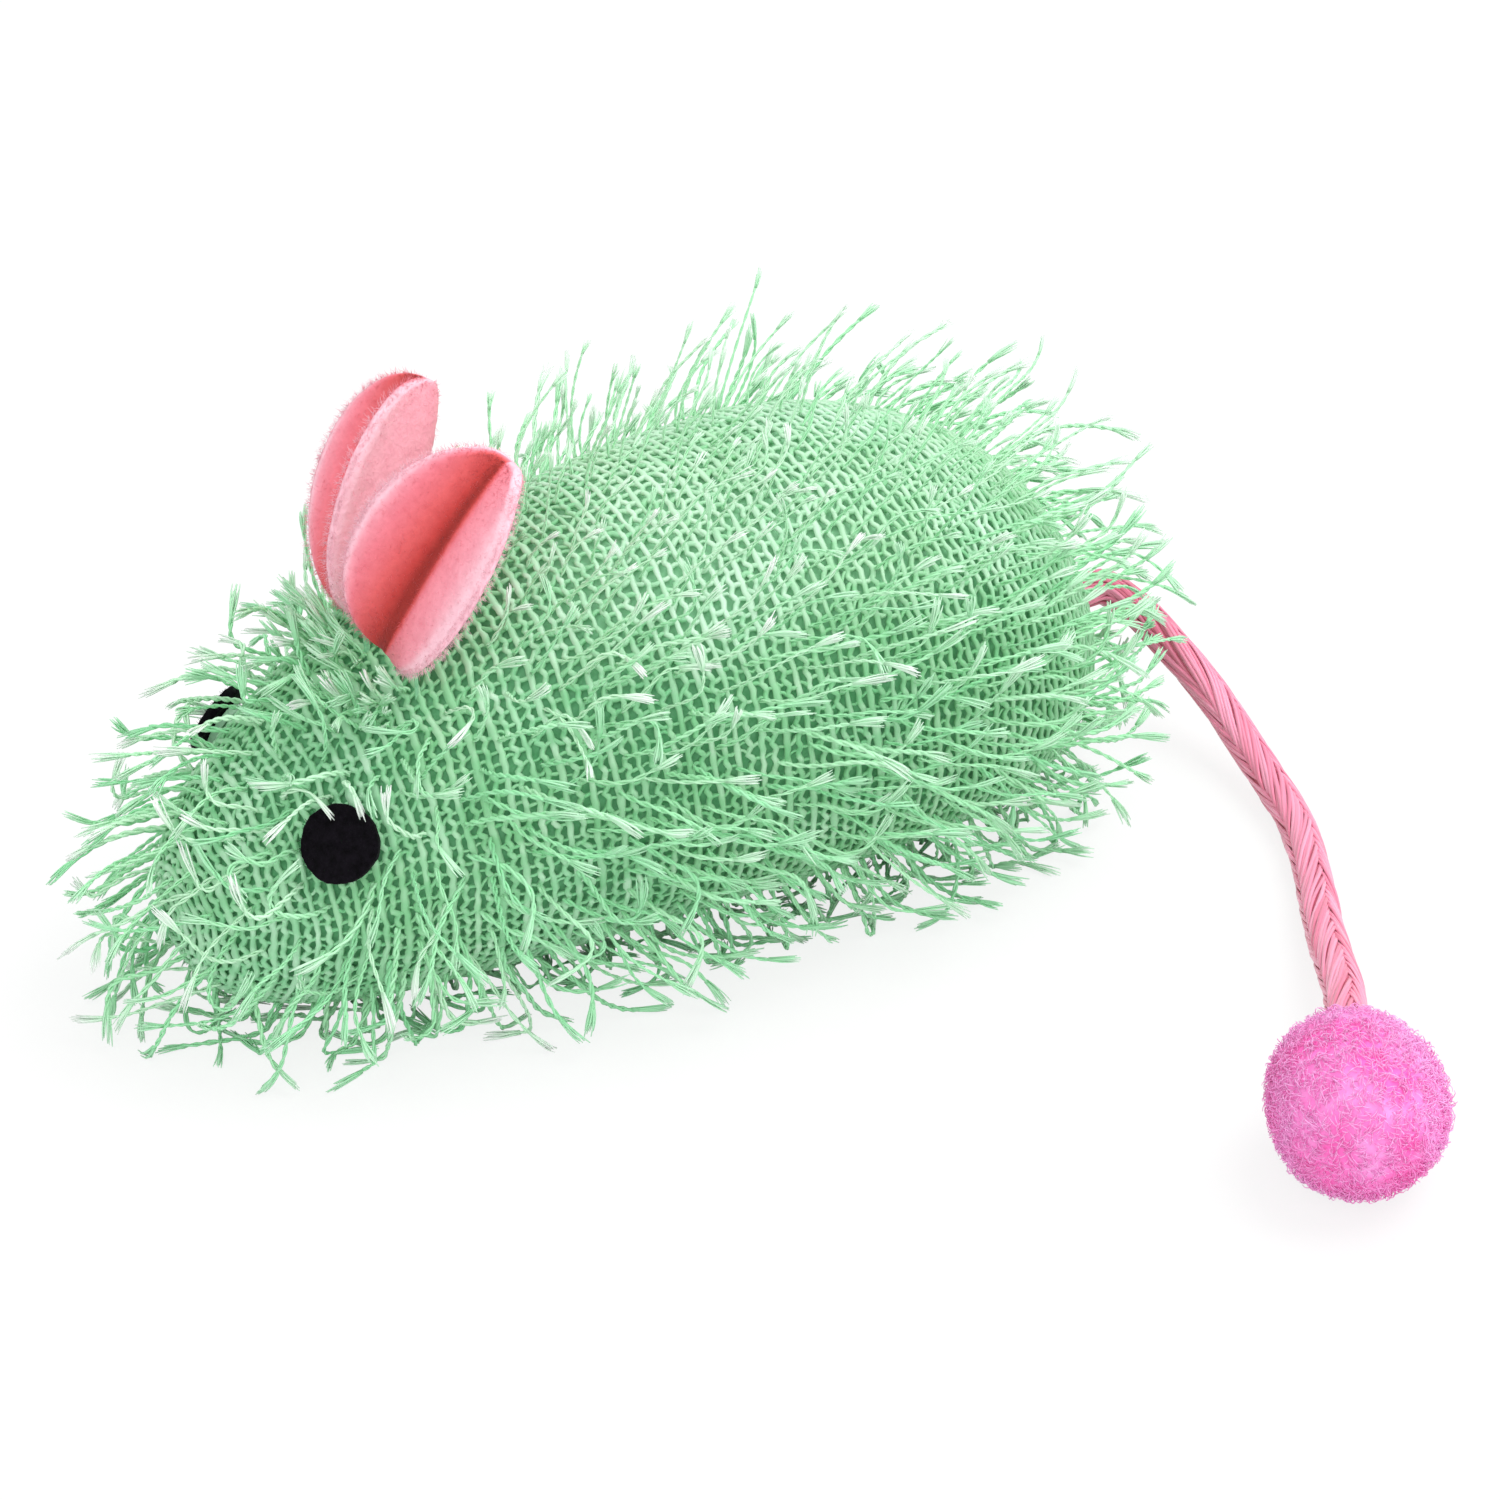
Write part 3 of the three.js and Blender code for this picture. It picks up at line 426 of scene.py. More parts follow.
def felt_color(tree):
    # the crease value runs from painted shade deep in the fold to painted light on the outer face and a
    # painted highlight on the cut edges
    base = ramp(tree, value_of(tree, "crease"), (0.0, "9C332D"), (0.12, "C84845"), (0.3, "E6696C"),
                (0.55, "F38795"), (0.8, "FBA9B9"), (1.0, "FFD0DD"))
    fibre = ramp(tree, noise(tree, 700, 5, 0.7), (0.3, "EBD6DA"), (0.62, "FFFFFF"))
    return blend_colors(tree, "MULTIPLY", 0.6, base, fibre)


def eye_color(tree):
    return ramp(tree, noise(tree, 1200, 5, 0.7), (0.35, "050406"), (0.75, "17131A"))


def cord_color(tree):
    base = ramp(tree, value_of(tree, "tone"), (0.0, "D0657F"), (0.5, "E984A3"), (1.0, "F6A5C2"))
    # the red mix is painted shade, near the root and between the strands
    return blend_colors(tree, "MIX", value_of(tree, "red_shade"), base, linear("B23A50"))


def pompom_color(tree):
    base = ramp(tree, noise(tree, 170, 3, 0.55), (0.36, "FF6EC6"), (0.5, "FF8CD6"), (0.64, "FFA8E6"))
    # mixed paler by the tone, which is painted light on top and at the fibre tips
    return blend_colors(tree, "MIX", value_of(tree, "tone"), base, linear("FFC8F6"))


def speckle(scale, dark, light):
    return lambda tree: ramp(tree, noise(tree, scale, 4), (0.3, dark), (0.7, light))


# colour, roughness, sheen, specular, then scale, strength and depth of the grain, and the sheen's tint
LOOKS = {
    "knit": (yarn_color, 0.5, 0.3, 0.4, 3000, 0.25, 0.0001, "C8F6D2"),
    "lash": (lash_color, 0.5, 0.6, 0.3, 4000, 0.15, 0.00005, "C8F6D2"),
    "lining": (lining_color, 0.9, 0.1, 0.1, 2500, 0.5, 0.0002),
    "felt": (felt_color, 0.95, 0.35, 0.15, 1400, 0.6, 0.0003, "FFB4BE"),
    "felt_fuzz": (felt_color, 0.9, 0.5, 0.1, 3000, 0.1, 0.00005, "FFC0CA"),
    "eye": (eye_color, 0.95, 0.03, 0.06, 1600, 0.8, 0.0003),
    "cord": (cord_color, 0.38, 0.2, 0.5, 5000, 0.2, 0.00005),
    "pompom": (pompom_color, 0.9, 1.0, 0.1, 3000, 0.1, 0.0001, "FFB4E6"),
    "thread": (speckle(2500, "6FB98A", "9BD9AE"), 0.6, 0.2, 0.4, 4000, 0.4, 0.0001),
    "stuffing": (speckle(300, "E4E0D6", "F8F6F0"), 1.0, 0.4, 0.1, 500, 0.7, 0.001),
    "pouch": (speckle(1200, "D8D0BC", "EFE9DA"), 0.9, 0.2, 0.2, 2500, 0.5, 0.0003),
    "catnip": (speckle(500, "555C33", "949B68"), 1.0, 0.0, 0.1, 700, 0.9, 0.001),
    "glue": (speckle(300, "86B894", "A3CFB0"), 0.35, 0.0, 0.5, 400, 0.3, 0.0003),
}
MATERIALS = {name: cloth(name, *look) for name, look in LOOKS.items()}


# Tail

TAIL_ROOT = np.array([0, BODY_LENGTH / 2, HIP_HEIGHT * 0.78])
CORD_DIAMETER = 4.5
TAIL_ROUTE = [
    (0, 6.4, 17.5), (0.1, 7.6, 17.4), (1.0, 9.4, 16.2), (3.3, 11.8, 13.7), (7.1, 13.6, 10.6),
    (12.5, 15.0, 7.6), (18.6, 15.0, 5.1), (26.0, 14.1, 3.4), (34.4, 12.2, 2.7), (42.6, 8.3, 2.7),
    (50.3, 3.8, 3.3), (57.7, -0.4, 4.6), (65.5, -4.7, 6.2), (71.0, -8.4, 7.4), (76.5, -12.1, 8.2),
    (82.2, -15.9, 9.0),
]
CORD_START = 0.3
SWING_PIVOT = np.array([0, 3.8, 0])
COLUMNS = 4
STRAND_WIDE, STRAND_THIN = 0.27, 0.19
STRAND_SPACING = 0.42
STRAND_POINTS = 14
LONGEST_STRAND = 26.0
ROOT_SLANT, FREE_SLANT = math.radians(9), math.radians(19)
CORD_TWIST = 0.006
CORD_STEP = 0.9
CORE_DEPTH = 0.34
KNOT_RADIUS, KNOT_CORD_HALF, KNOT_BEHIND_ROOT = 1.023, 1.55, 11.0


def even_curve(points, step):
    """A smooth curve through points, as points about a step apart, and its length."""
    t = np.linspace(0, 1, 40, endpoint=False)[:, None]
    longer = with_ends(np.asarray(points, float))
    fine = [spline(*longer[i:i + 4], t) for i in range(len(points) - 1)]
    fine = np.concatenate(fine + [longer[-2:-1]])
    run = run_along(fine)
    even = np.linspace(0, run[-1], int(round(run[-1] / step)) + 1)
    return along_run(run, fine, even), run[-1]


def along_run(run, values, where):
    return np.stack([np.interp(where, run, values[:, k]) for k in range(3)], -1)


def fullness(s):
    """The cord is pulled a little thinner near the rump than near the pompom."""
    return 0.93 + 0.07 * smooth((s - 50) / 25)


def plait(shape, path, rng):
    """Slanting strands in columns round a path. Strands of neighbouring columns meet in a V."""
    radius = CORD_DIAMETER / 2
    tangent = unit(np.gradient(path, axis=0))
    up = untwisted(tangent[None])[0]
    across = np.cross(tangent, up)
    run = run_along(path)
    width = TURN / COLUMNS
    lines, outs, tones, red_shades, wides = [], [], [], [], []
    for column in range(COLUMNS):
        way = 1 if column % 2 == 0 else -1
        start = rng.uniform(0, 1) - LONGEST_STRAND
        while start < run[-1] - 1:
            slant = ROOT_SLANT + (FREE_SLANT - ROOT_SLANT) * smooth(start / 30)
            length = 1.2 * radius * width / math.tan(slant)
            first, last = max(0.0, -start / length), min(1.0, (run[-1] - start) / length)
            if last - first > 0.08:
                t = np.linspace(first, last, STRAND_POINTS)
                s = start + t * length
                drift = rng.normal(0, 0.05)
                drift = drift + 0.07 * np.sin(TURN * t * rng.uniform(0.5, 1.2) + rng.uniform(0, TURN))
                angle = (column + 0.5 + way * (t - 0.5) * 1.2) * width + drift + CORD_TWIST * s
                bury = 0.3 * smooth((t - 0.82) / 0.18) + 0.3 * (1 - smooth(t / 0.16))
                out = radius * fullness(s) - STRAND_THIN + 0.06 * rng.standard_normal() - bury
                radial = along_run(run, up, s) * np.cos(angle)[:, None]
                radial = radial + along_run(run, across, s) * np.sin(angle)[:, None]
                lines.append(along_run(run, path, s) + radial * out[:, None])
                outs.append(radial)
                near_root = 1 - smooth((s - 14) / 16)
                middle = np.sin(math.pi * t)
                # painted light and shade: each strand is paler in its middle, where it stands out, and darker
                # near the root
                tones.append(np.clip(rng.uniform(0.25, 0.8) + 0.15 * middle - 0.05 * near_root, 0, 1))
                # painted shade: strands near the root are painted deep red, more so where they dive under
                red_shade = rng.uniform(0.1, 0.55) * near_root * (rng.uniform() < 0.6)
                red_shades.append(np.clip(red_shade + 0.25 * bury / 0.3, 0, 1))
                wides.append(STRAND_WIDE * rng.uniform(0.9, 1.15) * (0.75 + 0.25 * middle))
            start += STRAND_SPACING / math.sin(slant) * rng.uniform(0.92, 1.08)
    lines, outs, tones, red_shades, wides = (np.stack(rows) for rows in (lines, outs, tones, red_shades, wides))
    shape.tubes(lines, wides, wides * STRAND_THIN / STRAND_WIDE, 6, {"tone": tones, "red_shade": red_shades}, ups=outs)
    core = radius * fullness(run) - CORE_DEPTH
    # the core, seen between the strands, is painted dark red: painted shade in the gaps
    shape.tubes(path[None], core, core, 14, {"tone": 0.2, "red_shade": 0.45})


def tail_points():
    start = [(0, CORD_START, TAIL_ROOT[2]), (0, CORD_START + 2.9, TAIL_ROOT[2])]
    return np.array(start + TAIL_ROUTE) + [0, TAIL_ROOT[1], 0]


def add_tail_cord():
    path, length = even_curve(tail_points(), CORD_STEP)
    shape = Shape()
    plait(shape, path, dice(11))
    cord = shape.object("tail_cord_braid", "cord", None, "cord")
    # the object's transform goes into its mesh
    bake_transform(cord)
    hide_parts("tail_cord")
    return cord, path, length


def add_tail_knot():
    """An overhand knot inside the rump, with the cord's neck through the tail hole."""
    t = np.linspace(0, TURN, 120, endpoint=False)
    x = KNOT_RADIUS * (np.sin(t) + 2 * np.sin(2 * t))
    z = KNOT_RADIUS * (np.cos(t) - 2 * np.cos(2 * t))
    loop = np.stack([x, -1.9 * np.sin(3 * t), z], -1) + TAIL_ROOT - [0, KNOT_BEHIND_ROOT, 0]
    shape = Shape()
    shape.tubes(loop[None], KNOT_CORD_HALF, KNOT_CORD_HALF, 10, {"tone": 0.4, "red_shade": 0.0}, closed=True,
                ups=np.array([0.3, 1.0, 0.2]))
    neck = np.linspace([0, -7.5, 0], [0, 0.2, 0], 9) + TAIL_ROOT
    plait(shape, neck, dice(12))
    knot = shape.object("tail_knot_braid", "cord", "tail_anchor", "cord")
    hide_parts("tail_knot")


# Pompom

POMPOM_RADIUS = 9.7
POMPOM_FIBRES = 7300
POMPOM_STRETCH = 0.1
POMPOM_SINK = 0.5
CORE_RADIUS, CORE_FLOOR, FIBRE_START = 9.15, 0.3, 8.8
FIBRE_HALF = [0.065, 0.065, 0.06, 0.05, 0.025]
FIBRE_RISE, FIBRE_REACH = (0.4, 1.15), (0.6, 1.5)
POMPOM_OPENING = 0.25


def pompom_centre():
    a, b = np.array(TAIL_ROUTE[-2]), np.array(TAIL_ROUTE[-1])
    centre = b + unit(b - a) * 2.2
    return np.array([centre[0], centre[1] + TAIL_ROOT[1], POMPOM_RADIUS - POMPOM_SINK])


def sphere_points(count, rng):
    k = np.arange(count) + 0.5
    polar = np.arccos(1 - 2 * k / count)
    around = math.pi * (1 + 5 ** 0.5) * k
    away = np.stack([np.cos(around) * np.sin(polar), np.sin(around) * np.sin(polar), np.cos(polar)], -1)
    return unit(away + rng.normal(0, 0.03, away.shape))


def lumps(directions, rng, count, sharp):
    """A slow unevenness over directions, between about -1 and 1."""
    centres = unit(rng.standard_normal((count, 3)))
    signs = rng.uniform(-1, 1, count)
    return (np.exp(sharp * (directions @ centres.T - 1)) * signs).sum(-1)


def ball_core(shape, centre, reach):
    """A closed uneven ball; reach gives the radius for directions."""
    rows, columns = 44, 60
    polar = np.linspace(0, math.pi, rows + 2)[1:-1, None]
    around = np.arange(columns) * TURN / columns
    away = np.stack(np.broadcast_arrays(np.sin(polar) * np.cos(around), np.sin(polar) * np.sin(around),
                                        np.cos(polar)), -1)
    away = np.concatenate([away.reshape(-1, 3), [[0, 0, 1.0]], [[0, 0, -1.0]]])
    core = centre + away * reach(away)[:, None]
    core[:, 2] = np.maximum(core[:, 2], CORE_FLOOR)
    places = np.stack([np.arctan2(away[:, 1], away[:, 0]) / TURN + 0.5, away[:, 2] / 2 + 0.5], -1)
    shape.add(core, capped_faces(rows, columns), {"tone": np.zeros(len(core))}, places * 0.98)


def add_pompom(cord_path):
    rng = dice(21)
    centre = pompom_centre()
    axis = unit(cord_path[-8] - centre)

    def radius_at(away):
        return 1 + 0.09 * lumps(away, dice(22), 16, 6.0) + POMPOM_STRETCH * ((away @ axis) ** 2 - 0.4)

    shape = Shape()
    ball_core(shape, centre, lambda away: CORE_RADIUS * radius_at(away) + rng.normal(0, 0.06, len(away)))
    away = sphere_points(POMPOM_FIBRES, rng)
    # no fibres where the cord goes in
    away = away[(away @ axis < 0) | (np.linalg.norm(np.cross(away, axis), axis=1) > POMPOM_OPENING)]
    n = len(away)
    t = np.linspace(0, 1, len(FIBRE_HALF))[None, :, None]
    aside = square_to(away, rng.standard_normal((n, 3)))
    curl = unit(rng.standard_normal((n, 3)))
    start = centre + away * (FIBRE_START * radius_at(away))[:, None]
    rise = rng.uniform(*FIBRE_RISE, (n, 1, 1))
    reach = rng.uniform(*FIBRE_REACH, (n, 1, 1)) * rng.choice([1, 1.5], (n, 1, 1), p=[0.9, 0.1])
    path = start[:, None] + rise * away[:, None] * np.sin(t * 2.2) + reach * aside[:, None] * t \
        + 0.35 * curl[:, None] * t * t
    path[..., 2] = np.maximum(path[..., 2], 0.1 + 0.15 * rng.uniform(0, 1, (n, 1)))
    high = smooth((path[..., 2] - 6) / 12)
    # painted light: the fibres are painted paler high on the ball and towards their tips
    tone = np.clip(0.3 * high + 0.5 * t[..., 0] + rng.normal(0, 0.12, (n, 1)), 0, 1)
    shape.tubes(path, FIBRE_HALF, FIBRE_HALF, 3, {"tone": tone})
    pompom = shape.object("pompom_yarn", "pompom", "tail", "pompom")
    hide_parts("pompom")
    return pompom


# Knit and lining

CELL_ROUND = (1.45, 1.85)
CELL_POINTS = 4
YARN_DEPTH = 0.42
STRAIGHT_HALF, WAVY_HALF = (0.39, 0.26), (0.36, 0.27)
NARROWEST_GIRTH = (0.9, 2.9)
# where the painted light on the back starts, in height and along the body
PAINTED_LIGHT_FROM_HEIGHT, PAINTED_LIGHT_FROM_Y = 34, -25
PIECE_LIMIT = 165000
KNIT_SIDES = 5
LINING_DEPTH = 1.1
KNIT_BEHIND_NOSE, KNIT_BEFORE_TAIL = 1.6, 1.2


def wale_pitch(station):
    return float(np.interp(station, [0, 0.2, 0.38, 0.6, 1.0], [2.1, 2.4, 2.8, 2.6, 2.2]))


def painted_light_on_back(points, rise):
    """Painted light: the back of the body is painted paler, as lit from above, over a rise in height."""
    return smooth((points[:, 2] - PAINTED_LIGHT_FROM_HEIGHT) / rise) * smooth((points[:, 1] - PAINTED_LIGHT_FROM_Y) / 20)


def add_ring(shape, place, depth, angles, wide, thin, tone):
    """One closed yarn round the girth; its place along the body and its depth vary along it."""
    station = station_of(place)
    point, normal = skin(station, angles, depth)
    shape.tubes(point[None], wide, thin, KNIT_SIDES, {"tone": tone}, grid_places(station, angles / TURN),
                ups=normal[None], closed=True)


def add_rungs(shape, start, end, angles, lean, bow, depths, half, tone):
    """Short bowed yarns that bridge from start to end along the body, one at each angle."""
    t = np.linspace(0, 1, 5)[None, :]
    start, end, angles, lean, bow, half, tone = (
        value[:, None] for value in (start, end, angles, lean, bow, half, tone))
    arch = np.sin(math.pi * t)
    station = station_of(start + (end - start) * t)
    angle = angles + lean * (t - 0.5) + bow * arch
    depth = depths[0] + (depths[1] - depths[0]) * t - 0.16 * arch
    point, normal = skin(station, angle, np.maximum(depth, 0.15))
    shape.tubes(point, half, half, KNIT_SIDES, {"tone": np.clip(tone, 0, 1)},
                grid_places(station, angle / TURN % 1), ups=normal)


def add_knit_row(shape, place, pitch, rng):
    """A straight and a wavy yarn round the body, with the bridges between them and to the next row."""
    station = station_of(place)
    cells = max(8, int(round(girth_at(station) / np.interp(station, [0.35, 0.65], CELL_ROUND))))

    def each_cell(spread, repeats=CELL_POINTS):
        return np.repeat(rng.normal(0, spread, cells), repeats)

    angles = round_angles(station, cells * CELL_POINTS)
    phase = TURN * np.arange(cells * CELL_POINTS) / CELL_POINTS + rng.uniform(0, TURN)
    drift = 0.2 * np.sin(angles * 3 + place * 0.05) + 0.16 * np.sin(angles * 11 + place * 0.31)
    rough = each_cell(0.08)
    # painted light: the yarn is painted paler on the back, where the light from above falls
    lit_back = 0.35 * painted_light_on_back(bare_skin(np.full_like(angles, station), angles), 14)
    tone = rng.uniform(0.4, 0.6) + lit_back
    cell_tone = each_cell(0.12)
    # the straight yarn, flat and pale, with every other point
    straight = (place + drift + rough * 0.8 + 0.09 * np.sin(phase))[::2]
    uneven = 1 + 0.1 * rng.standard_normal() + 0.14 * np.sin(phase[::2] * 0.37)
    uneven = uneven + each_cell(0.1, CELL_POINTS // 2)
    add_ring(shape, straight, YARN_DEPTH - 0.05 * np.cos(phase[::2]), angles[::2], STRAIGHT_HALF[0] * uneven,
             STRAIGHT_HALF[1], np.clip((tone + 0.1 + cell_tone)[::2], 0, 1))
    # the wavy yarn, which swings towards the next straight one in each cell
    far = 0.52 * pitch
    wavy = place + drift + far + (0.2 + each_cell(0.07)) * np.cos(phase) + rough
    # painted shade and light: the wavy yarn is painted darker where it dips deeper and paler where it comes
    # up
    add_ring(shape, wavy, YARN_DEPTH + 0.02 - 0.1 * np.sin(phase), angles, *WAVY_HALF,
             np.clip(tone + cell_tone + 0.12 * np.sin(phase), 0, 1))
    # rungs across the wide gap, some of them slanting, and short links across the narrow one
    # the rungs and links lie deeper and are painted darker: painted shade in the gaps
    cell_turn, tone, near = TURN / cells, tone[::CELL_POINTS] - 0.15, place + drift[::CELL_POINTS]
    lean = np.where(rng.uniform(0, 1, cells) < 0.6, rng.normal(0, 0.15, cells),
                    rng.choice([-1, 1], cells) * rng.uniform(0.4, 0.8, cells))
    swung = angles[::CELL_POINTS] - (phase[0] % TURN) / TURN * cell_turn
    middle = swung + cell_turn * rng.normal(0.5, 0.1, cells)
    bow = cell_turn * rng.choice([-1, 1], cells) * rng.uniform(0.1, 0.3, cells)
    upper = smooth((np.sin(angles[::CELL_POINTS]) - 0.35) / 0.5) * smooth((station - 0.25) / 0.2)
    thick = 1 + 0.3 * upper
    add_rungs(shape, near + 0.1, near + far, middle, cell_turn * lean, bow,
              (YARN_DEPTH + 0.2, YARN_DEPTH + 0.22), 0.2 * thick * rng.uniform(0.7, 1.35, cells),
              tone + rng.normal(0, 0.15, cells))
    add_rungs(shape, near + far + 0.05, near + pitch + 0.02, swung, cell_turn * rng.normal(0, 0.15, cells),
              0.4 * bow, (YARN_DEPTH + 0.18, YARN_DEPTH + 0.16), 0.22 * thick * rng.uniform(0.8, 1.2, cells),
              tone + rng.normal(0, 0.12, cells))


def add_knit():
    rng = dice(31)
    pieces = [Shape()]
    place = KNIT_BEHIND_NOSE
    while place < ALONG[-1] - KNIT_BEFORE_TAIL:
        station = station_of(place)
        pitch = wale_pitch(station)
        if girth_at(station) / TURN >= NARROWEST_GIRTH[int(station > 0.5)]:
            if pieces[-1].triangles > PIECE_LIMIT:
                pieces.append(Shape())
            add_knit_row(pieces[-1], place, pitch, rng)
        place += pitch
    for k, piece in enumerate(pieces):
        knit = piece.object(f"knit_{k + 1}", "knit", "body", "knit")
        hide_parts("knit_cover")


def add_lining():
    rows, columns = 90, 96
    station = station_of(np.linspace(0, ALONG[-1], rows + 2)[1:-1])[:, None]
    angle = np.arange(columns) * TURN / columns
    point, _ = skin(station, angle, LINING_DEPTH)
    end = BODY_LENGTH / 2 - LINING_DEPTH
    tips = [[0, -end, HIP_HEIGHT * MIDDLE_SHARES[0]], [0, end, HIP_HEIGHT * MIDDLE_SHARES[-1]]]
    points = np.concatenate([point.reshape(-1, 3), tips])
    places = np.concatenate([grid_places(station, angle / TURN), grid_places([0, 1], 0.5)])
    shape = Shape()
    # the lining's tone is painted light, paler on the back
    shape.add(points, capped_faces(rows, columns), {"tone": painted_light_on_back(points, 16)}, places)
    lining = shape.object("lining", "lining", "body", "lining")
    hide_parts("lining_bag")


# Eyes

EYE_DIAMETER, EYE_THICKNESS, EYE_STAND_OFF = 8.3, 1.2, 1.4
EYE_BEHIND_NOSE = 15.4
# for each side the angle round the body, the yaw and the pitch
EYE_ANGLES = {1: (36.0, 48.0, 37.0), -1: (25.0, 57.0, 24.0)}
EYE_FIBRES = 700
EYE_FIBRE_HALF = [0.025, 0.022, 0.012]
EYE_FIBRE_LONG = (0.15, 0.45)


def eye_centre(side):
    station = np.array([math.acos(1 - 2 * EYE_BEHIND_NOSE / BODY_LENGTH) / math.pi])
    point, _ = skin(station, np.radians([EYE_ANGLES[side][0]]), 0.0)
    return point[0] * [side, 1, 1]


def eye_frame(side):
    """The directions out of an eye, to its right and up, and the middle of its back."""
    yaw, pitch = (math.radians(angle) for angle in EYE_ANGLES[side][1:])
    level = np.array([side * math.sin(yaw), -math.cos(yaw), 0])
    out = level * math.cos(pitch) + [0, 0, math.sin(pitch)]
    right = unit(np.cross(np.array([0, 0, 1.0]), out))
    return out, right, np.cross(out, right), eye_centre(side) + out * EYE_STAND_OFF


def add_eye(name, side, seed):
    rng = dice(seed)
    out, right, up, base = eye_frame(side)
    radius = EYE_DIAMETER / 2
    profile = [(radius * math.sin(a), 0.0) for a in np.linspace(0.12, 1.45, 7)]
    profile += [(radius - 0.05 + 0.08 * math.cos(b), EYE_THICKNESS * (0.5 + 0.38 * math.sin(b)))
                for b in np.linspace(-1.2, 1.2, 5)]
    profile += [(radius * math.cos(a), EYE_THICKNESS * (0.93 + 0.07 * math.sin(a)))
                for a in np.linspace(0.25, 1.5, 10)]
    profile = np.array(profile)
    rows, columns = len(profile), 72
    angle = np.arange(columns) * TURN / columns
    edge = 1 + 0.012 * np.sin(3 * angle + 1) + 0.01 * np.sin(7 * angle + 2) + rng.normal(0, 0.006, columns)
    r = profile[:, :1] * edge
    h = profile[:, 1:] + rng.normal(0, 0.025, r.shape)
    a, b = r * np.cos(angle), r * np.sin(angle)
    points = base + a[..., None] * right + b[..., None] * up + h[..., None] * out
    points = np.concatenate([points.reshape(-1, 3), [base, base + out * EYE_THICKNESS]])
    places = np.stack([np.append(a, [0, 0]), np.append(b, [0, 0])], -1) * 0.4 / radius + 0.5
    shape = Shape()
    shape.add(points, capped_faces(rows, columns, flip=True), {"tone": np.full(len(points), 0.3)}, places)
    # fine fibres that stand off the felt
    n = EYE_FIBRES
    spot = rng.uniform(0, TURN, n)
    reach = radius * np.sqrt(rng.uniform(0.3, 1.02, n))
    away = right * np.cos(spot)[:, None] + up * np.sin(spot)[:, None]
    start = base + away * reach[:, None] + out * (EYE_THICKNESS * rng.uniform(0.5, 0.98, n))[:, None]
    lean = unit(away * rng.uniform(0, 1.2, (n, 1)) + out * 0.6 + rng.normal(0, 0.5, (n, 3)))
    t = np.linspace(0, 1, len(EYE_FIBRE_HALF))[None, :, None]
    path = start[:, None] + lean[:, None] * t * rng.uniform(*EYE_FIBRE_LONG, (n, 1, 1))
    shape.tubes(path, EYE_FIBRE_HALF, EYE_FIBRE_HALF, 3, {"tone": 0.3})
    eye = shape.object(f"eye_{name}_felt", "eye", "body", "eye_felt")
    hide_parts(f"eye_{name}")


# Ears

EAR_LENGTH, EAR_WIDTH, EAR_THICKNESS, EAR_END_WIDTH = 26.0, 20.6, 1.6, 1.8
EAR_FOLD_RADIUS = 2.0
EAR_OPENING, EAR_LEAN_BACK, EAR_LEAN_OUT, EAR_TURN_OUT = (math.radians(a) for a in (85, 28.3, 13, 12.6))
EAR_FOOT = np.array([4.6, -30.1, 41.658])
EAR_HINGE = np.array([0, -1.4, 2.0])
EAR_ROWS, EAR_COLUMNS = 64, 44
# for each side how far the outer lobe opens, the fold fills up and how much painted light the inside of the
# outer lobe gets
EAR_FLARE, EAR_FILL, EAR_PAINTED_LIGHT = {1: 2.0, -1: 1.3}, {1: 2.0, -1: -2.4}, {1: 0.56, -1: 0.0}
FACE_FIBRES, EDGE_FIBRES = 3400, 2200
FELT_FIBRE_HALF = [0.024, 0.02, 0.01]
FACE_FIBRE_LONG, EDGE_FIBRE_LONG = (0.2, 0.5), (0.25, 0.75)


def ear_foot(side):
    return EAR_FOOT * [side, 1, 1]


def placed(points, side):
    """Points of an ear, taken from the ear's own axes to the body. The turns are those of the CAD solid."""
    lean_out, turn_out = turn_about(1, side * EAR_LEAN_OUT), turn_about(2, side * EAR_TURN_OUT)
    axes = lean_out @ turn_about(0, -EAR_LEAN_BACK) @ turn_out
    return points @ axes.T + ear_foot(side)


def folded(across, height, offset):
    """The felt folded into a V, with a round fold."""
    turn = (math.pi - EAR_OPENING) / 2
    rounded = EAR_FOLD_RADIUS * turn
    q = np.abs(across)
    bent = np.minimum(q, rounded) / EAR_FOLD_RADIUS
    straight = np.maximum(q - rounded, 0)
    reach = EAR_FOLD_RADIUS - offset
    x = reach * np.sin(bent) + straight * math.cos(turn)
    y = -(EAR_FOLD_RADIUS - reach * np.cos(bent) + straight * math.sin(turn))
    return np.stack([np.sign(across) * x, y, height + np.zeros_like(x)], -1)


def ear_half_width(v):
    return EAR_END_WIDTH / 2 + (EAR_WIDTH - EAR_END_WIDTH) / 2 * np.sin(math.pi * v)


def ear_point(u, v, side, offset):
    """A point of the felt: u across from -1 to 1, v from foot to tip, offset towards the inside."""
    arch = np.sin(math.pi * v)
    height = EAR_LENGTH * (1 - np.cos(math.pi * v)) / 2
    flare = EAR_FLARE[side] * np.maximum(u * side, 0) ** 2 * arch
    point = folded(ear_half_width(v) * u, height, offset - flare)
    # the right ear's fold bulges back, but only high up, where it stays clear of the knit
    high = 1 if EAR_FILL[side] > 0 else smooth((v - 0.3) / 0.3)
    point[..., 1] -= EAR_FILL[side] * (1 - smooth(np.abs(u) / 0.8)) * arch * high
    return point


def painted_light_on_lobe(u, crease, side):
    """Painted light: the inside of the outer lobe is painted paler than the fold, where the light falls on
    it.
    """
    return smooth((u * side - 0.05) / 0.25) * EAR_PAINTED_LIGHT[side] * (1 - 0.6 * crease)


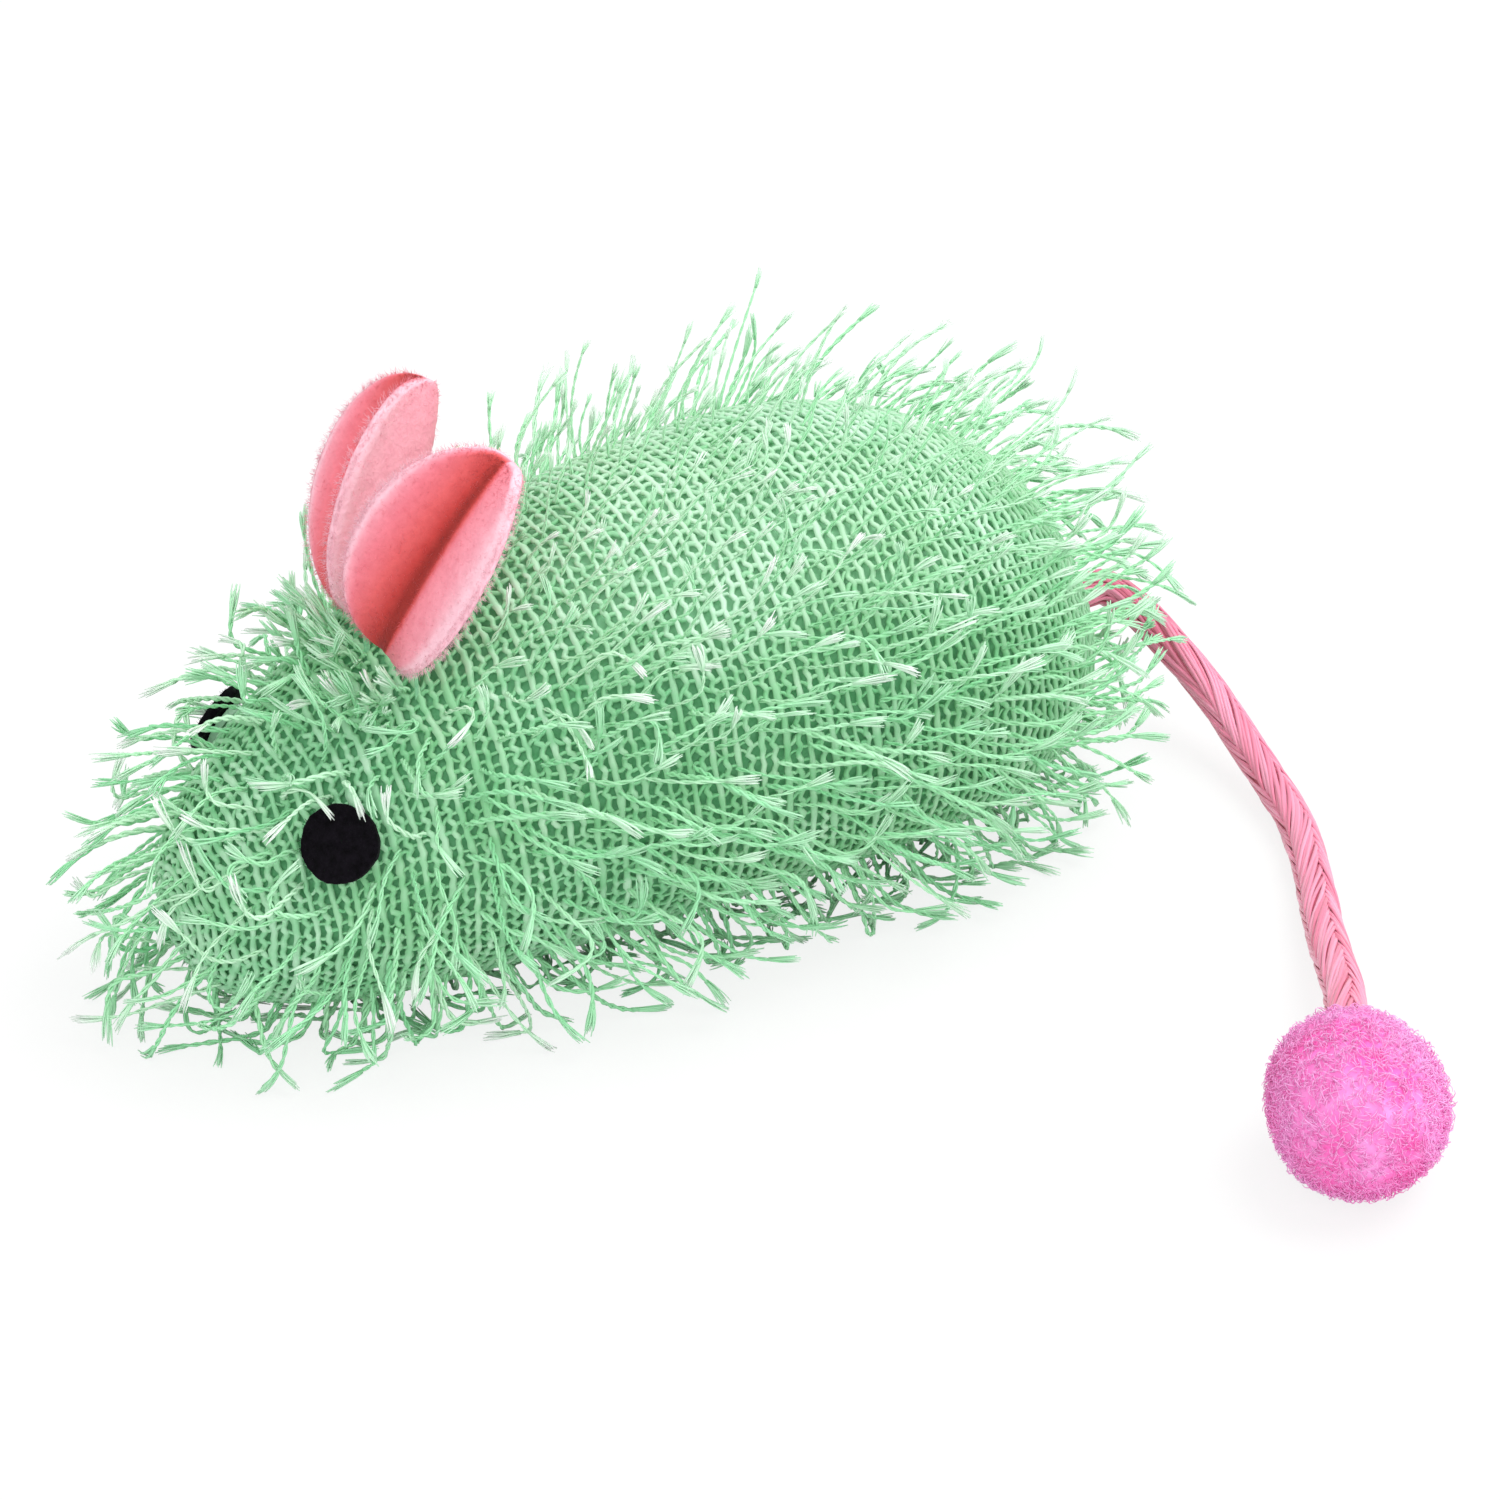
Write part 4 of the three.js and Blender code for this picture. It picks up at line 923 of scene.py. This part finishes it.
def add_ear_felt(name, side, rng):
    v = np.linspace(0, 1, EAR_ROWS)[:, None]
    u = np.linspace(-1, 1, EAR_COLUMNS)
    u = np.sign(u) * np.abs(u) ** 0.9
    across = ear_half_width(v) * u
    thin = EAR_THICKNESS / 2 * np.sqrt(np.maximum(1 - np.abs(u) ** 10, 0.05))
    thin = thin * np.sqrt(np.clip(1 - (2 * v - 1) ** 16, 0.08, 1))
    uneven = 0.05 * np.sin(across * 1.3 + v * 9) + rng.normal(0, 0.02, across.shape)
    crease = np.clip(np.abs(across) / (EAR_WIDTH / 2), 0, 1)
    edge = np.maximum(np.abs(u) ** 14, np.abs(2 * v - 1) ** 18)
    # painted shade and light: the inside is painted darker towards the fold and paler up the ear, with a
    # painted highlight along the cut edges; the outside is painted pale
    inner_value = crease * 0.82 - 0.08 + 0.07 * smooth((v - 0.3) / 0.5) + 0.5 * edge
    values = np.stack([inner_value + painted_light_on_lobe(u, crease, side), 0.78 + 0.12 * crease + 0.4 * edge])
    points = np.stack([placed(ear_point(u, v, side, uneven + offset), side) for offset in (thin, -thin)])
    n = EAR_ROWS * EAR_COLUMNS
    index = np.arange(n).reshape(EAR_ROWS, EAR_COLUMNS)
    front = np.stack([index[:-1, :-1], index[:-1, 1:], index[1:, 1:], index[1:, :-1]], -1).reshape(-1, 4)
    rim = np.concatenate([index[0], index[1:, -1], index[-1, -2::-1], index[-2:0:-1, 0]])
    nxt = np.roll(rim, -1)
    sides = np.stack([nxt, rim, rim + n, nxt + n], -1)
    places = np.concatenate([grid_places(u * 0.24 + middle, v) for middle in (0.25, 0.75)])
    shape = Shape()
    shape.add(points.reshape(-1, 3), [front, front[:, ::-1] + n, sides],
              {"crease": np.clip(values, 0, 1).ravel()}, places)
    ear = shape.object(f"ear_{name}_felt", "felt", f"{name}_ear", "ear_felt")
    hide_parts(f"ear_{name}")


def add_ear_fuzz(name, side, rng):
    """Short fibres over the felt, thickest along the cut edge."""
    m = FACE_FIBRES + EDGE_FIBRES
    is_edge = np.arange(m) >= FACE_FIBRES
    cut_u = rng.choice([-1, 1], m) * (1 - np.abs(rng.normal(0, 0.015, m)))
    u = np.where(is_edge, cut_u, rng.uniform(-1, 1, m))
    cut_v = np.arccos(1 - 2 * rng.uniform(0.002, 0.998, m)) / math.pi
    v = np.where(is_edge, cut_v, rng.uniform(0.14, 0.96, m))
    face = rng.choice([-1.0, 1.0], m)
    level = EAR_THICKNESS / 2 * np.where(is_edge, rng.uniform(0, 0.8, m), 0.94)
    start = ear_point(u, v, side, face * level)
    away = unit(ear_point(u, v, side, face * (level + 0.4)) - start)
    outward = unit(ear_point(u * 1.06, v, side, face * level) - start)
    outward[:, 2] -= 0.9 * np.cos(math.pi * v)
    away = np.where(is_edge[:, None], unit(outward) + 0.3 * away, 0.45 * away)
    lean = unit(away + rng.normal(0, 0.4, away.shape))
    t = np.linspace(0, 1, len(FELT_FIBRE_HALF))[None, :, None]
    reach = np.where(is_edge, rng.uniform(*EDGE_FIBRE_LONG, m), rng.uniform(*FACE_FIBRE_LONG, m))
    reach = reach[:, None, None]
    path = placed(start[:, None] + (lean[:, None] * t + rng.normal(0, 0.25, (m, 1, 3)) * t * t) * reach, side)
    fold = np.abs(u) * np.sin(math.pi * v)
    # painted shade towards the fold and painted light on the outer lobe, as on the felt, with a painted
    # highlight on the fibres of the cut edges
    value = np.where(face > 0, 0.82 * fold - 0.06 + painted_light_on_lobe(u, fold, side), 0.78)
    value = np.clip(value + np.where(is_edge, 0.5, rng.uniform(0, 0.16, m)), 0, 1)[:, None]
    fuzz = Shape()
    fuzz.tubes(path, FELT_FIBRE_HALF, FELT_FIBRE_HALF, 3, {"crease": value})
    fuzz.object(f"ear_{name}_fuzz", "felt_fuzz", f"{name}_ear", "ear_felt")


# Lashes

LASHES, ROOT_TRIES = 1500, 20000
LASH_GAP = 2.5
LASH_LONG, SHORTEST_LASH = (7.5, 13.0), 2.2
LASH_POINTS = 22
LASH_STRAND, STRAND_APART = 0.185, 0.15
ROOT_DEPTH = 0.25
TWIST_PITCH = (2.2, 4.0)
TIP_FIBRES, TIP_POINTS = 10, 5
TIP_LONG, TIP_HALF = (2.8, 4.8), (0.26, 0.46)
FREE_BOX = np.array([[-40.5, -69.8, 0.35], [75.0, 85.5, 76.0]])
CLEAR_OF_FELT, CLEAR_OF_EYE, CLEAR_OF_CORD, CLEAR_OF_SWUNG_CORD = 1.25, 0.35, 0.4, 0.5
BARE_ROUND_TAIL, BARE_ROUND_EYE, BARE_ROUND_EAR = 3.4, 5.0, 4.6
TUFT_LASHES, TUFT_LONG, TUFT_REACH, TUFT_SHIFT = 44, (2.4, 4.2), (2.2, 5.6), (0.8, -1.2)
# the share of the lashes left out on the ridge of the back and round the cord, and where these lie
BARE_RIDGE, BARE_CORD = 0.3, 0.85
RIDGE_HEIGHT, RIDGE_BEHIND_Y, RIDGE_X = 30, -24, 7
CORD_NEAR, CORD_ABOVE = 12, 13
LASH_PIECES = 5
# for each lash over an eye: the eye's side, where it starts and ends to the right of the eye's middle
# and above it, and how its last stretch bows to the right, up and out
EYE_LASHES = [
    (1, (-7.2, 6.2), (-2.6, 4.3), (-1.4, 1.8, 1.4)),
    (1, (-0.4, 8.0), (1.6, 4.9), (-0.6, 1.8, 1.4)),
    (-1, (8.0, 3.6), (4.2, 2.6), (1.4, 0.4, 1.0)),
    (-1, (6.4, 6.2), (3.4, 3.6), (1.0, 1.0, 1.0)),
]


def lash_roots(rng):
    """Even places on the skin, clear of the eyes, the ears and the cord, and the normals there."""
    station = station_of(rng.uniform(0.5, ALONG[-1] - 0.5, ROOT_TRIES))
    girths = [girth_at(s) for s in np.linspace(0.003, 0.997, 60)]
    girth = np.interp(station, np.linspace(0, 1, 60), girths)
    station = station[rng.uniform(0, girth.max(), ROOT_TRIES) < girth]
    point, normal = skin(station, rng.uniform(0, TURN, len(station)), ROOT_DEPTH)
    allowed = (normal[:, 2] > -0.9) & (np.linalg.norm(point - TAIL_ROOT, axis=1) > BARE_ROUND_TAIL)
    for side in (1, -1):
        allowed &= np.linalg.norm(point - eye_centre(side), axis=1) > BARE_ROUND_EYE
        from_ear = (point - ear_foot(side))[:, :2] * [1, 0.8]
        allowed &= np.linalg.norm(from_ear, axis=1) > BARE_ROUND_EAR
    point, normal = point[allowed], normal[allowed]
    chosen = []
    spots = np.full((LASHES, 3), 1e6)
    for i in range(len(point)):
        if len(chosen) == LASHES:
            break
        if ((spots[:len(chosen)] - point[i]) ** 2).sum(1).min(initial=1e9) > LASH_GAP ** 2:
            spots[len(chosen)] = point[i]
            chosen.append(i)
    return point[chosen], normal[chosen]


def thinned(root, normal, chance):
    """Fewer lashes on the ridge of the back and round the cord."""
    on_ridge = (root[:, 2] > RIDGE_HEIGHT) & (root[:, 1] > RIDGE_BEHIND_Y) & (root[:, 0] < RIDGE_X)
    at_cord = (np.linalg.norm(root - TAIL_ROOT, axis=1) < CORD_NEAR) & (root[:, 2] > CORD_ABOVE)
    keep = ~((on_ridge & (chance < BARE_RIDGE)) | (at_cord & (chance < BARE_CORD)))
    return root[keep], normal[keep]


def tuft_roots(rng):
    """Places on the skin and the normals there, round the feet of both ears."""
    spots = []
    for side in (1, -1):
        turn, reach = rng.uniform(0, TURN, TUFT_LASHES), rng.uniform(*TUFT_REACH, TUFT_LASHES)
        x, y = ear_foot(side)[:2] + np.array(TUFT_SHIFT) * [side, 1]
        spots.append([x + reach * np.cos(turn), y + reach * np.sin(turn)])
    return skin_over(*np.concatenate(spots, axis=1), ROOT_DEPTH)


def lash_flow(point, normal, rng):
    """The way along the skin in which the lashes lie, for each root."""
    back = square_to(normal, np.array([0, 1.0, 0]))
    down = square_to(normal, np.array([0, 0, -1.0]))
    share = point[:, 1] / BODY_LENGTH + 0.5
    rearward = -1.0 + 2.0 * smooth((share - 0.06) / 0.27)
    on_top = smooth((normal[:, 2] - 0.1) / 0.6)
    head = 1 - smooth((share - 0.22) / 0.2)
    sink = np.interp(point[:, 2], [0, 6, 16, 26, 36], [1.4, 1.1, 0.45, 0.0, -0.25])
    sink = (1 - head) * sink + head * (1 - on_top) * np.interp(point[:, 2], [0, 20, 34], [1.2, 0.8, 0.2])
    flow = back * rearward[:, None] + down * sink[:, None]
    return square_to(normal, flow + rng.normal(0, 0.3 + 0.15 * head[:, None], flow.shape))


def felt_tree():
    """A search tree of points over both ears at turns from back to forward."""
    v, u = np.meshgrid(np.linspace(0, 1, 26), np.linspace(-1, 1, 22), indexing="ij")
    spots = []
    for side in (1, -1):
        local = ear_point(u, v, side, 0.0).reshape(-1, 3) - EAR_HINGE
        spots += [placed(local @ turn_about(0, math.radians(angle)).T + EAR_HINGE, side)
                  for angle in (-30, -20, -10, 0, 15, 30, 45)]
    spots = np.concatenate(spots)
    tree = KDTree(len(spots))
    for i, spot in enumerate(spots):
        tree.insert(spot, i)
    tree.balance()
    return tree


def swung_cord():
    """The cord's middle line near the rump, with the tail swung out, rolled over or not."""
    line = even_curve(tail_points(), 0.8)[0][4:32] - (TAIL_ROOT + SWING_PIVOT)
    spots = []
    for angle in (45, 60, 75):
        swung = line @ turn_about(2, math.radians(angle)).T + SWING_PIVOT
        spots += [TAIL_ROOT + swung, TAIL_ROOT + swung * [-1, 1, -1]]
    return np.concatenate(spots)


def first_touch(path, tree, cord):
    """For each lash, how many of its points come before the first that meets an ear, an eye or the cord."""
    n, p, _ = path.shape
    touch = np.zeros((n, p), bool)
    for side in (1, -1):
        out, right, up, base = eye_frame(side)
        away = path - base
        level = away @ out
        reach = np.hypot(away @ right, away @ up)
        close = (level < EYE_THICKNESS + CLEAR_OF_EYE) & (reach < EYE_DIAMETER / 2 + CLEAR_OF_EYE)
        touch |= close & (level > -3)
        touch |= (level < 9) & (level > 0) & (reach < EYE_DIAMETER / 2 + (0.6 if side > 0 else -1.5))
    rod = path - TAIL_ROOT
    touch |= (np.hypot(rod[..., 0], rod[..., 2]) < CORD_DIAMETER / 2 + CLEAR_OF_CORD) & (rod[..., 1] > -1)
    behind = path[..., 1] > 50
    gap = path[behind][:, None] - cord
    limit = CORD_DIAMETER / 2 + CLEAR_OF_SWUNG_CORD
    touch[behind] |= (gap ** 2).sum(-1).min(1, initial=1e9) < limit ** 2
    near_ears = (path[..., 2] > 38) & (np.abs(path[..., 1] + 26) < 30)
    for i, j in np.argwhere(near_ears & ~touch):
        touch[i, j] = tree.find(path[i, j])[2] < CLEAR_OF_FELT
    return np.where(touch.any(1), touch.argmax(1), p)


def lash_paths(root, normal, flow, length, form):
    """form has a row for each of the two rises, the bend, the hook and the wave with its rate and start."""
    w = np.linspace(0, 1, LASH_POINTS)[None, :]
    side = np.cross(normal, flow)
    rise0, rise1, bend, hook, wave, rate, start = form[:, :, None]
    rise = np.radians(rise0 + (rise1 - rise0) * smooth(w))[..., None]
    turn = bend * w + hook * smooth((w - 0.55) / 0.45) + wave * np.sin(TURN * w * rate + start)
    flat = flow[:, None] * np.cos(turn)[..., None] + side[:, None] * np.sin(turn)[..., None]
    way = normal[:, None] * np.sin(rise) + flat * np.cos(rise)
    step = (length / (LASH_POINTS - 1))[:, None, None]
    path = root[:, None] + np.cumsum(way * step, axis=1) - way[:, :1] * step
    # keep each lash off the floor and within reach of the body
    path[..., :2] = np.clip(path[..., :2], *FREE_BOX[:, :2])
    path[..., 2] = np.where(path[..., 2] < 1.4, 0.4 + np.exp(np.minimum(path[..., 2] - 1.4, 0)), path[..., 2])
    return path


def lash_forms(root, normal, is_tuft, rng):
    """The length of each lash, and the rows that lash_paths takes."""
    n = len(root)
    head = 1 - smooth((root[:, 1] / BODY_LENGTH + 0.25) / 0.2)
    on_top = smooth((normal[:, 2] - 0.2) / 0.6)
    low = 1 - smooth((root[:, 2] - 6) / 10)
    length = rng.uniform(*LASH_LONG, n) + on_top * (1 - head) * rng.uniform(-2, 4, n)
    length = length + low * rng.uniform(0, 3, n)
    length *= 1 - 0.2 * head * on_top
    on_ridge = smooth((root[:, 2] - 28) / 10) * (root[:, 0] < 9)
    length *= 1 - on_ridge * rng.choice([0.0, 0.5], n, p=[0.3, 0.7])
    rise0 = rng.uniform(35, 75, n) + 10 * on_top
    rise1 = rng.uniform(0, 38, n) + 24 * on_top
    length = np.where(is_tuft, rng.uniform(*TUFT_LONG, n), length)
    rise0 = np.where(is_tuft, rng.uniform(60, 85, n), rise0)
    rise1 = np.where(is_tuft, rng.uniform(45, 85, n), rise1)
    curl = 0.3 + 0.35 * np.maximum(head, low)
    bend = rng.normal(0, 1, n) * curl
    hook = rng.normal(0, 1, n) * curl * (rng.uniform(0, 1, n) < 0.45) * 2.2
    wave, rate, start = rng.uniform(0.05, 0.22, n), rng.uniform(0.6, 1.6, n), rng.uniform(0, TURN, n)
    return length, np.stack([rise0, rise1, bend, hook, wave, rate, start])


def lashes_over_eyes():
    """Pale lashes that fall over the upper edge of the left eye and over the right eye."""
    t = np.linspace(0, 1, LASH_POINTS)[:, None]
    paths = []
    for side, root, tip, bow in EYE_LASHES:
        out, right, up, base = eye_frame(side)
        x, y, _ = base + right * root[0] + up * root[1]
        start = skin_over(np.array([x]), np.array([y]), 0.3)[0][0]
        end = base + right * tip[0] + up * tip[1] + out * 2.4
        high = start + out * 4.6
        over = end + right * bow[0] + up * bow[1] + out * bow[2]
        paths.append((1 - t) ** 3 * start + 3 * (1 - t) ** 2 * t * high
                     + 3 * (1 - t) * t * t * over + t ** 3 * end)
    return np.stack(paths)


def lash_parts(path, on_head, rng):
    """Two strands twisted round each other, and the frayed brush of fibres that ends each lash."""
    n = len(path)
    w = np.linspace(0, 1, LASH_POINTS)[None, :]
    run = np.cumsum(np.linalg.norm(np.diff(path, axis=1, prepend=path[:, :1]), axis=2), axis=1)
    tangent = unit(np.gradient(path, axis=1))
    aside = square_to(tangent, unit(np.cross(tangent[:, :1], np.array([0.3, 0.2, 1.0]))))
    over = np.cross(tangent, aside)
    on_top = smooth((path[:, :1, 2] - 38) / 8) * (1 - on_head)
    size = rng.uniform(0.75, 1.2, (n, 1)) * (1 + 0.15 * on_head - 0.3 * on_top) * (1 - 0.15 * w)
    phase = rng.uniform(0, TURN, (n, 1)) + TURN * run / rng.uniform(*TWIST_PITCH, (n, 1))
    around = aside * np.cos(phase)[..., None] + over * np.sin(phase)[..., None]
    apart = (STRAND_APART * size)[..., None] * around
    stems = np.stack([path + apart, path - apart], 1).reshape(2 * n, LASH_POINTS, 3)
    thick = np.repeat(LASH_STRAND * size, 2, axis=0)

    last = unit(path[:, -1] - path[:, -3])
    bent = unit(path[:, -1] - 2 * path[:, -4] + path[:, -7])
    fan = unit(np.cross(last, unit(rng.standard_normal((n, 3)))))
    stand = np.cross(last, fan)
    m = n * TIP_FIBRES
    across = np.tile(np.linspace(-1, 1, TIP_FIBRES), n) + rng.normal(0, 0.12, m)
    small = np.repeat(1 - 0.4 * on_top[:, 0], TIP_FIBRES)
    flare = (np.repeat(rng.uniform(*TIP_HALF, n), TIP_FIBRES) * across * small)[:, None, None]
    lift, curl = rng.normal(0, 0.08, (m, 1, 1)), rng.normal(0, 0.12, (m, 1, 1))
    long = np.repeat(rng.uniform(*TIP_LONG, n), TIP_FIBRES) * rng.uniform(0.72, 1.04, m) * small
    long = long[:, None, None]
    root, last, bent, fan, stand = (np.repeat(a, TIP_FIBRES, axis=0)[:, None]
                                    for a in (path[:, -2], last, bent, fan, stand))
    t = np.linspace(0, 1, TIP_POINTS)[None, :, None]
    fibres = root + last * (long * t - 0.3) + bent * (0.12 * long * t * t) \
        + fan * (flare * (0.3 + 0.7 * smooth(t / 0.7)) + curl * t * t) + stand * (lift * (1 + 2 * t))
    fibres = np.maximum(fibres, [*(FREE_BOX[0, :2] - 0.6), 0.25])
    fine = np.interp(np.linspace(0, 1, TIP_POINTS), [0, 0.3, 0.8, 1], [0.12, 0.135, 0.11, 0.05])
    fine = fine[None, :] * rng.uniform(0.8, 1.2, (m, 1)) * small[:, None]
    return stems, thick, fibres, fine


def build_lashes(shapes, path, on_head, hue, rng):
    n = len(path)
    stems, thick, fibres, fine = lash_parts(path, on_head[:, None], rng)
    tone = np.clip(rng.uniform(0.3, 1.0, (2 * n, 1)) + rng.normal(0, 0.1, (2 * n, LASH_POINTS)), 0, 1)
    fine_tone = np.clip(0.7 + rng.normal(0, 0.2, (len(fibres), 1)), 0, 1)
    share = math.ceil(n / len(shapes))
    for k, shape in enumerate(shapes):
        for paths, half, tones, ends, each, span in (
                (stems, thick, tone, (0, 0.6), 2, (0, 0.78)),
                (fibres, fine, fine_tone, (0.6, 1), TIP_FIBRES, (0.8, 0.19))):
            part = slice(k * share * each, (k + 1) * share * each)
            values = {"tone": tones[part], "along": np.linspace(*ends, paths.shape[1]),
                      "hue": np.repeat(hue, each)[part, None]}
            shape.tubes(paths[part], half[part], half[part] * 0.85, 3, values, span=span)


def add_lashes():
    rng = dice(41)
    root, normal = lash_roots(rng)
    order = np.argsort(root[:, 1])
    tuft, tuft_normal = tuft_roots(rng)
    root, normal = thinned(root[order], normal[order], rng.uniform(0, 1, len(order)))
    is_tuft = np.arange(len(root) + len(tuft)) >= len(root)
    root, normal = np.concatenate([root, tuft]), np.concatenate([normal, tuft_normal])
    flow = lash_flow(root, normal, rng)
    flow = np.where(is_tuft[:, None], square_to(normal, rng.standard_normal(flow.shape)), flow)
    length, form = lash_forms(root, normal, is_tuft, rng)
    tree, cord = felt_tree(), swung_cord()
    tip = TIP_LONG[1] - 1.0
    for _ in range(3):
        # the last stretch of the test stands for the brush at the end
        whole = lash_paths(root, normal, flow, length + tip, form)
        free = first_touch(whole, tree, cord) / (LASH_POINTS - 1.0)
        length = np.where(free < 1, np.maximum((length + tip) * free - tip - 0.4, 0), length)
    keep = (length > SHORTEST_LASH) & (free >= 0.98)
    path = lash_paths(root[keep], normal[keep], flow[keep], length[keep], form[:, keep])
    path = np.concatenate([path, lashes_over_eyes()])
    height = smooth((path[:, 0, 2] - 20) / 30)
    on_head = 1 - smooth((path[:, 0, 1] + 38) / 20)
    # painted light: lashes rooted high on the body are painted whiter, less so on the head
    hue = np.clip(0.7 * rng.beta(1.6, 1.6, len(path)) + 0.4 * height * (1 - 0.8 * on_head), 0, 1)
    hue = np.where(rng.uniform(0, 1, len(path)) < 0.25 * on_head, 0.95, hue)
    hue[-len(EYE_LASHES):] = 1.0
    order = np.argsort(path[:, 0, 1], kind="stable")
    shapes = [Shape() for _ in range(LASH_PIECES)]
    build_lashes(shapes, path[order], on_head[order], hue[order], rng)
    for k, shape in enumerate(shapes):
        lashes = shape.object(f"lashes_{k + 1}", "lash", "body", "knit")
        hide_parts("knit_cover")


# Stage

WHITE = (1, 1, 1, 1)
FLOOR_HALF = 8.0
FLOOR_GLOW = 0.82
SKY_LIGHT = 0.76
LAMP_AIM = Vector((0, 0, 0.02))
# name, place in metres, watts and size
LAMPS = [("key", (0.15, 0.5, 1.0), 8.5, 0.8), ("fill", (0.6, -0.5, 0.75), 2.6, 0.6)]


def seen_by_camera(tree):
    return add_node(tree, "ShaderNodeLightPath", {}).outputs["Is Camera Ray"]


def add_floor():
    mesh = bpy.data.meshes.new("floor")
    corners = [(x * FLOOR_HALF, y * FLOOR_HALF, 0) for x, y in ((-1, -1), (1, -1), (1, 1), (-1, 1))]
    mesh.from_pydata(corners, [], [(0, 1, 2, 3)])
    floor = add_object("floor", mesh)
    material, tree, shader, output = new_material("floor")
    feed(tree, shader, {"Base Color": (0.9, 0.9, 0.9, 1), "Roughness": 1.0, "Specular IOR Level": 0.0})
    glow = add_node(tree, "ShaderNodeEmission", {"Color": WHITE, "Strength": 1.0})
    share = add_node(tree, "ShaderNodeMath", {0: seen_by_camera(tree), 1: FLOOR_GLOW})
    share.operation = "MULTIPLY"
    mix = add_node(tree, "ShaderNodeMixShader",
                   {0: share.outputs[0], 1: shader.outputs[0], 2: glow.outputs[0]})
    feed(tree, output, {"Surface": mix.outputs[0]})
    mesh.materials.append(material)


def add_stage():
    scene = bpy.context.scene
    scene.view_settings.view_transform = "Standard"
    add_floor()
    world = bpy.data.worlds.new("world")
    scene.world = world
    world.use_nodes = True
    tree = world.node_tree
    tree.nodes.clear()
    strength = add_node(tree, "ShaderNodeMapRange", {
        "Value": seen_by_camera(tree), "To Min": SKY_LIGHT, "To Max": 1.0})
    back = add_node(tree, "ShaderNodeBackground", {"Color": WHITE, "Strength": strength.outputs[0]})
    add_node(tree, "ShaderNodeOutputWorld", {"Surface": back.outputs[0]})
    for name, place, watts, size in LAMPS:
        data = bpy.data.lights.new(name, "AREA")
        data.energy = watts
        data.size = size
        lamp = add_object(name, data)
        lamp.location = place
        lamp.rotation_euler = (LAMP_AIM - Vector(place)).to_track_quat("-Z", "Y").to_euler()


def dress_nodes():
    """Materials for the CAD solids that stay as they are."""
    kinds = {
        "stuffing": ["stuffing"], "pouch": ["catnip_pouch"], "catnip": ["catnip_fill"],
        "glue": ["eye_left_glue", "eye_right_glue"],
        "thread": ["closing_seam_thread", "nose_gather_thread", "tail_tack_thread", "pompom_tie",
                   "ear_left_stitch", "ear_right_stitch"],
    }
    for kind, nodes in kinds.items():
        for node in nodes:
            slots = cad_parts[node].data.materials
            slots.clear()
            slots.append(MATERIALS[kind])


add_camera()
CORD, CORD_PATH, CORD_LENGTH = add_tail_cord()
POMPOM = add_pompom(CORD_PATH)
add_tail_knot()
add_lining()
add_knit()
for SIDE_NAME, SIDE, SEED in (("left", 1, 51), ("right", -1, 52)):
    add_eye(SIDE_NAME, SIDE, SEED)
for SIDE_NAME, SIDE, SEED in (("left", 1, 61), ("right", -1, 62)):
    EAR_DICE = dice(SEED)
    add_ear_felt(SIDE_NAME, SIDE, EAR_DICE)
    add_ear_fuzz(SIDE_NAME, SIDE, EAR_DICE)
add_lashes()
dress_nodes()
add_stage()
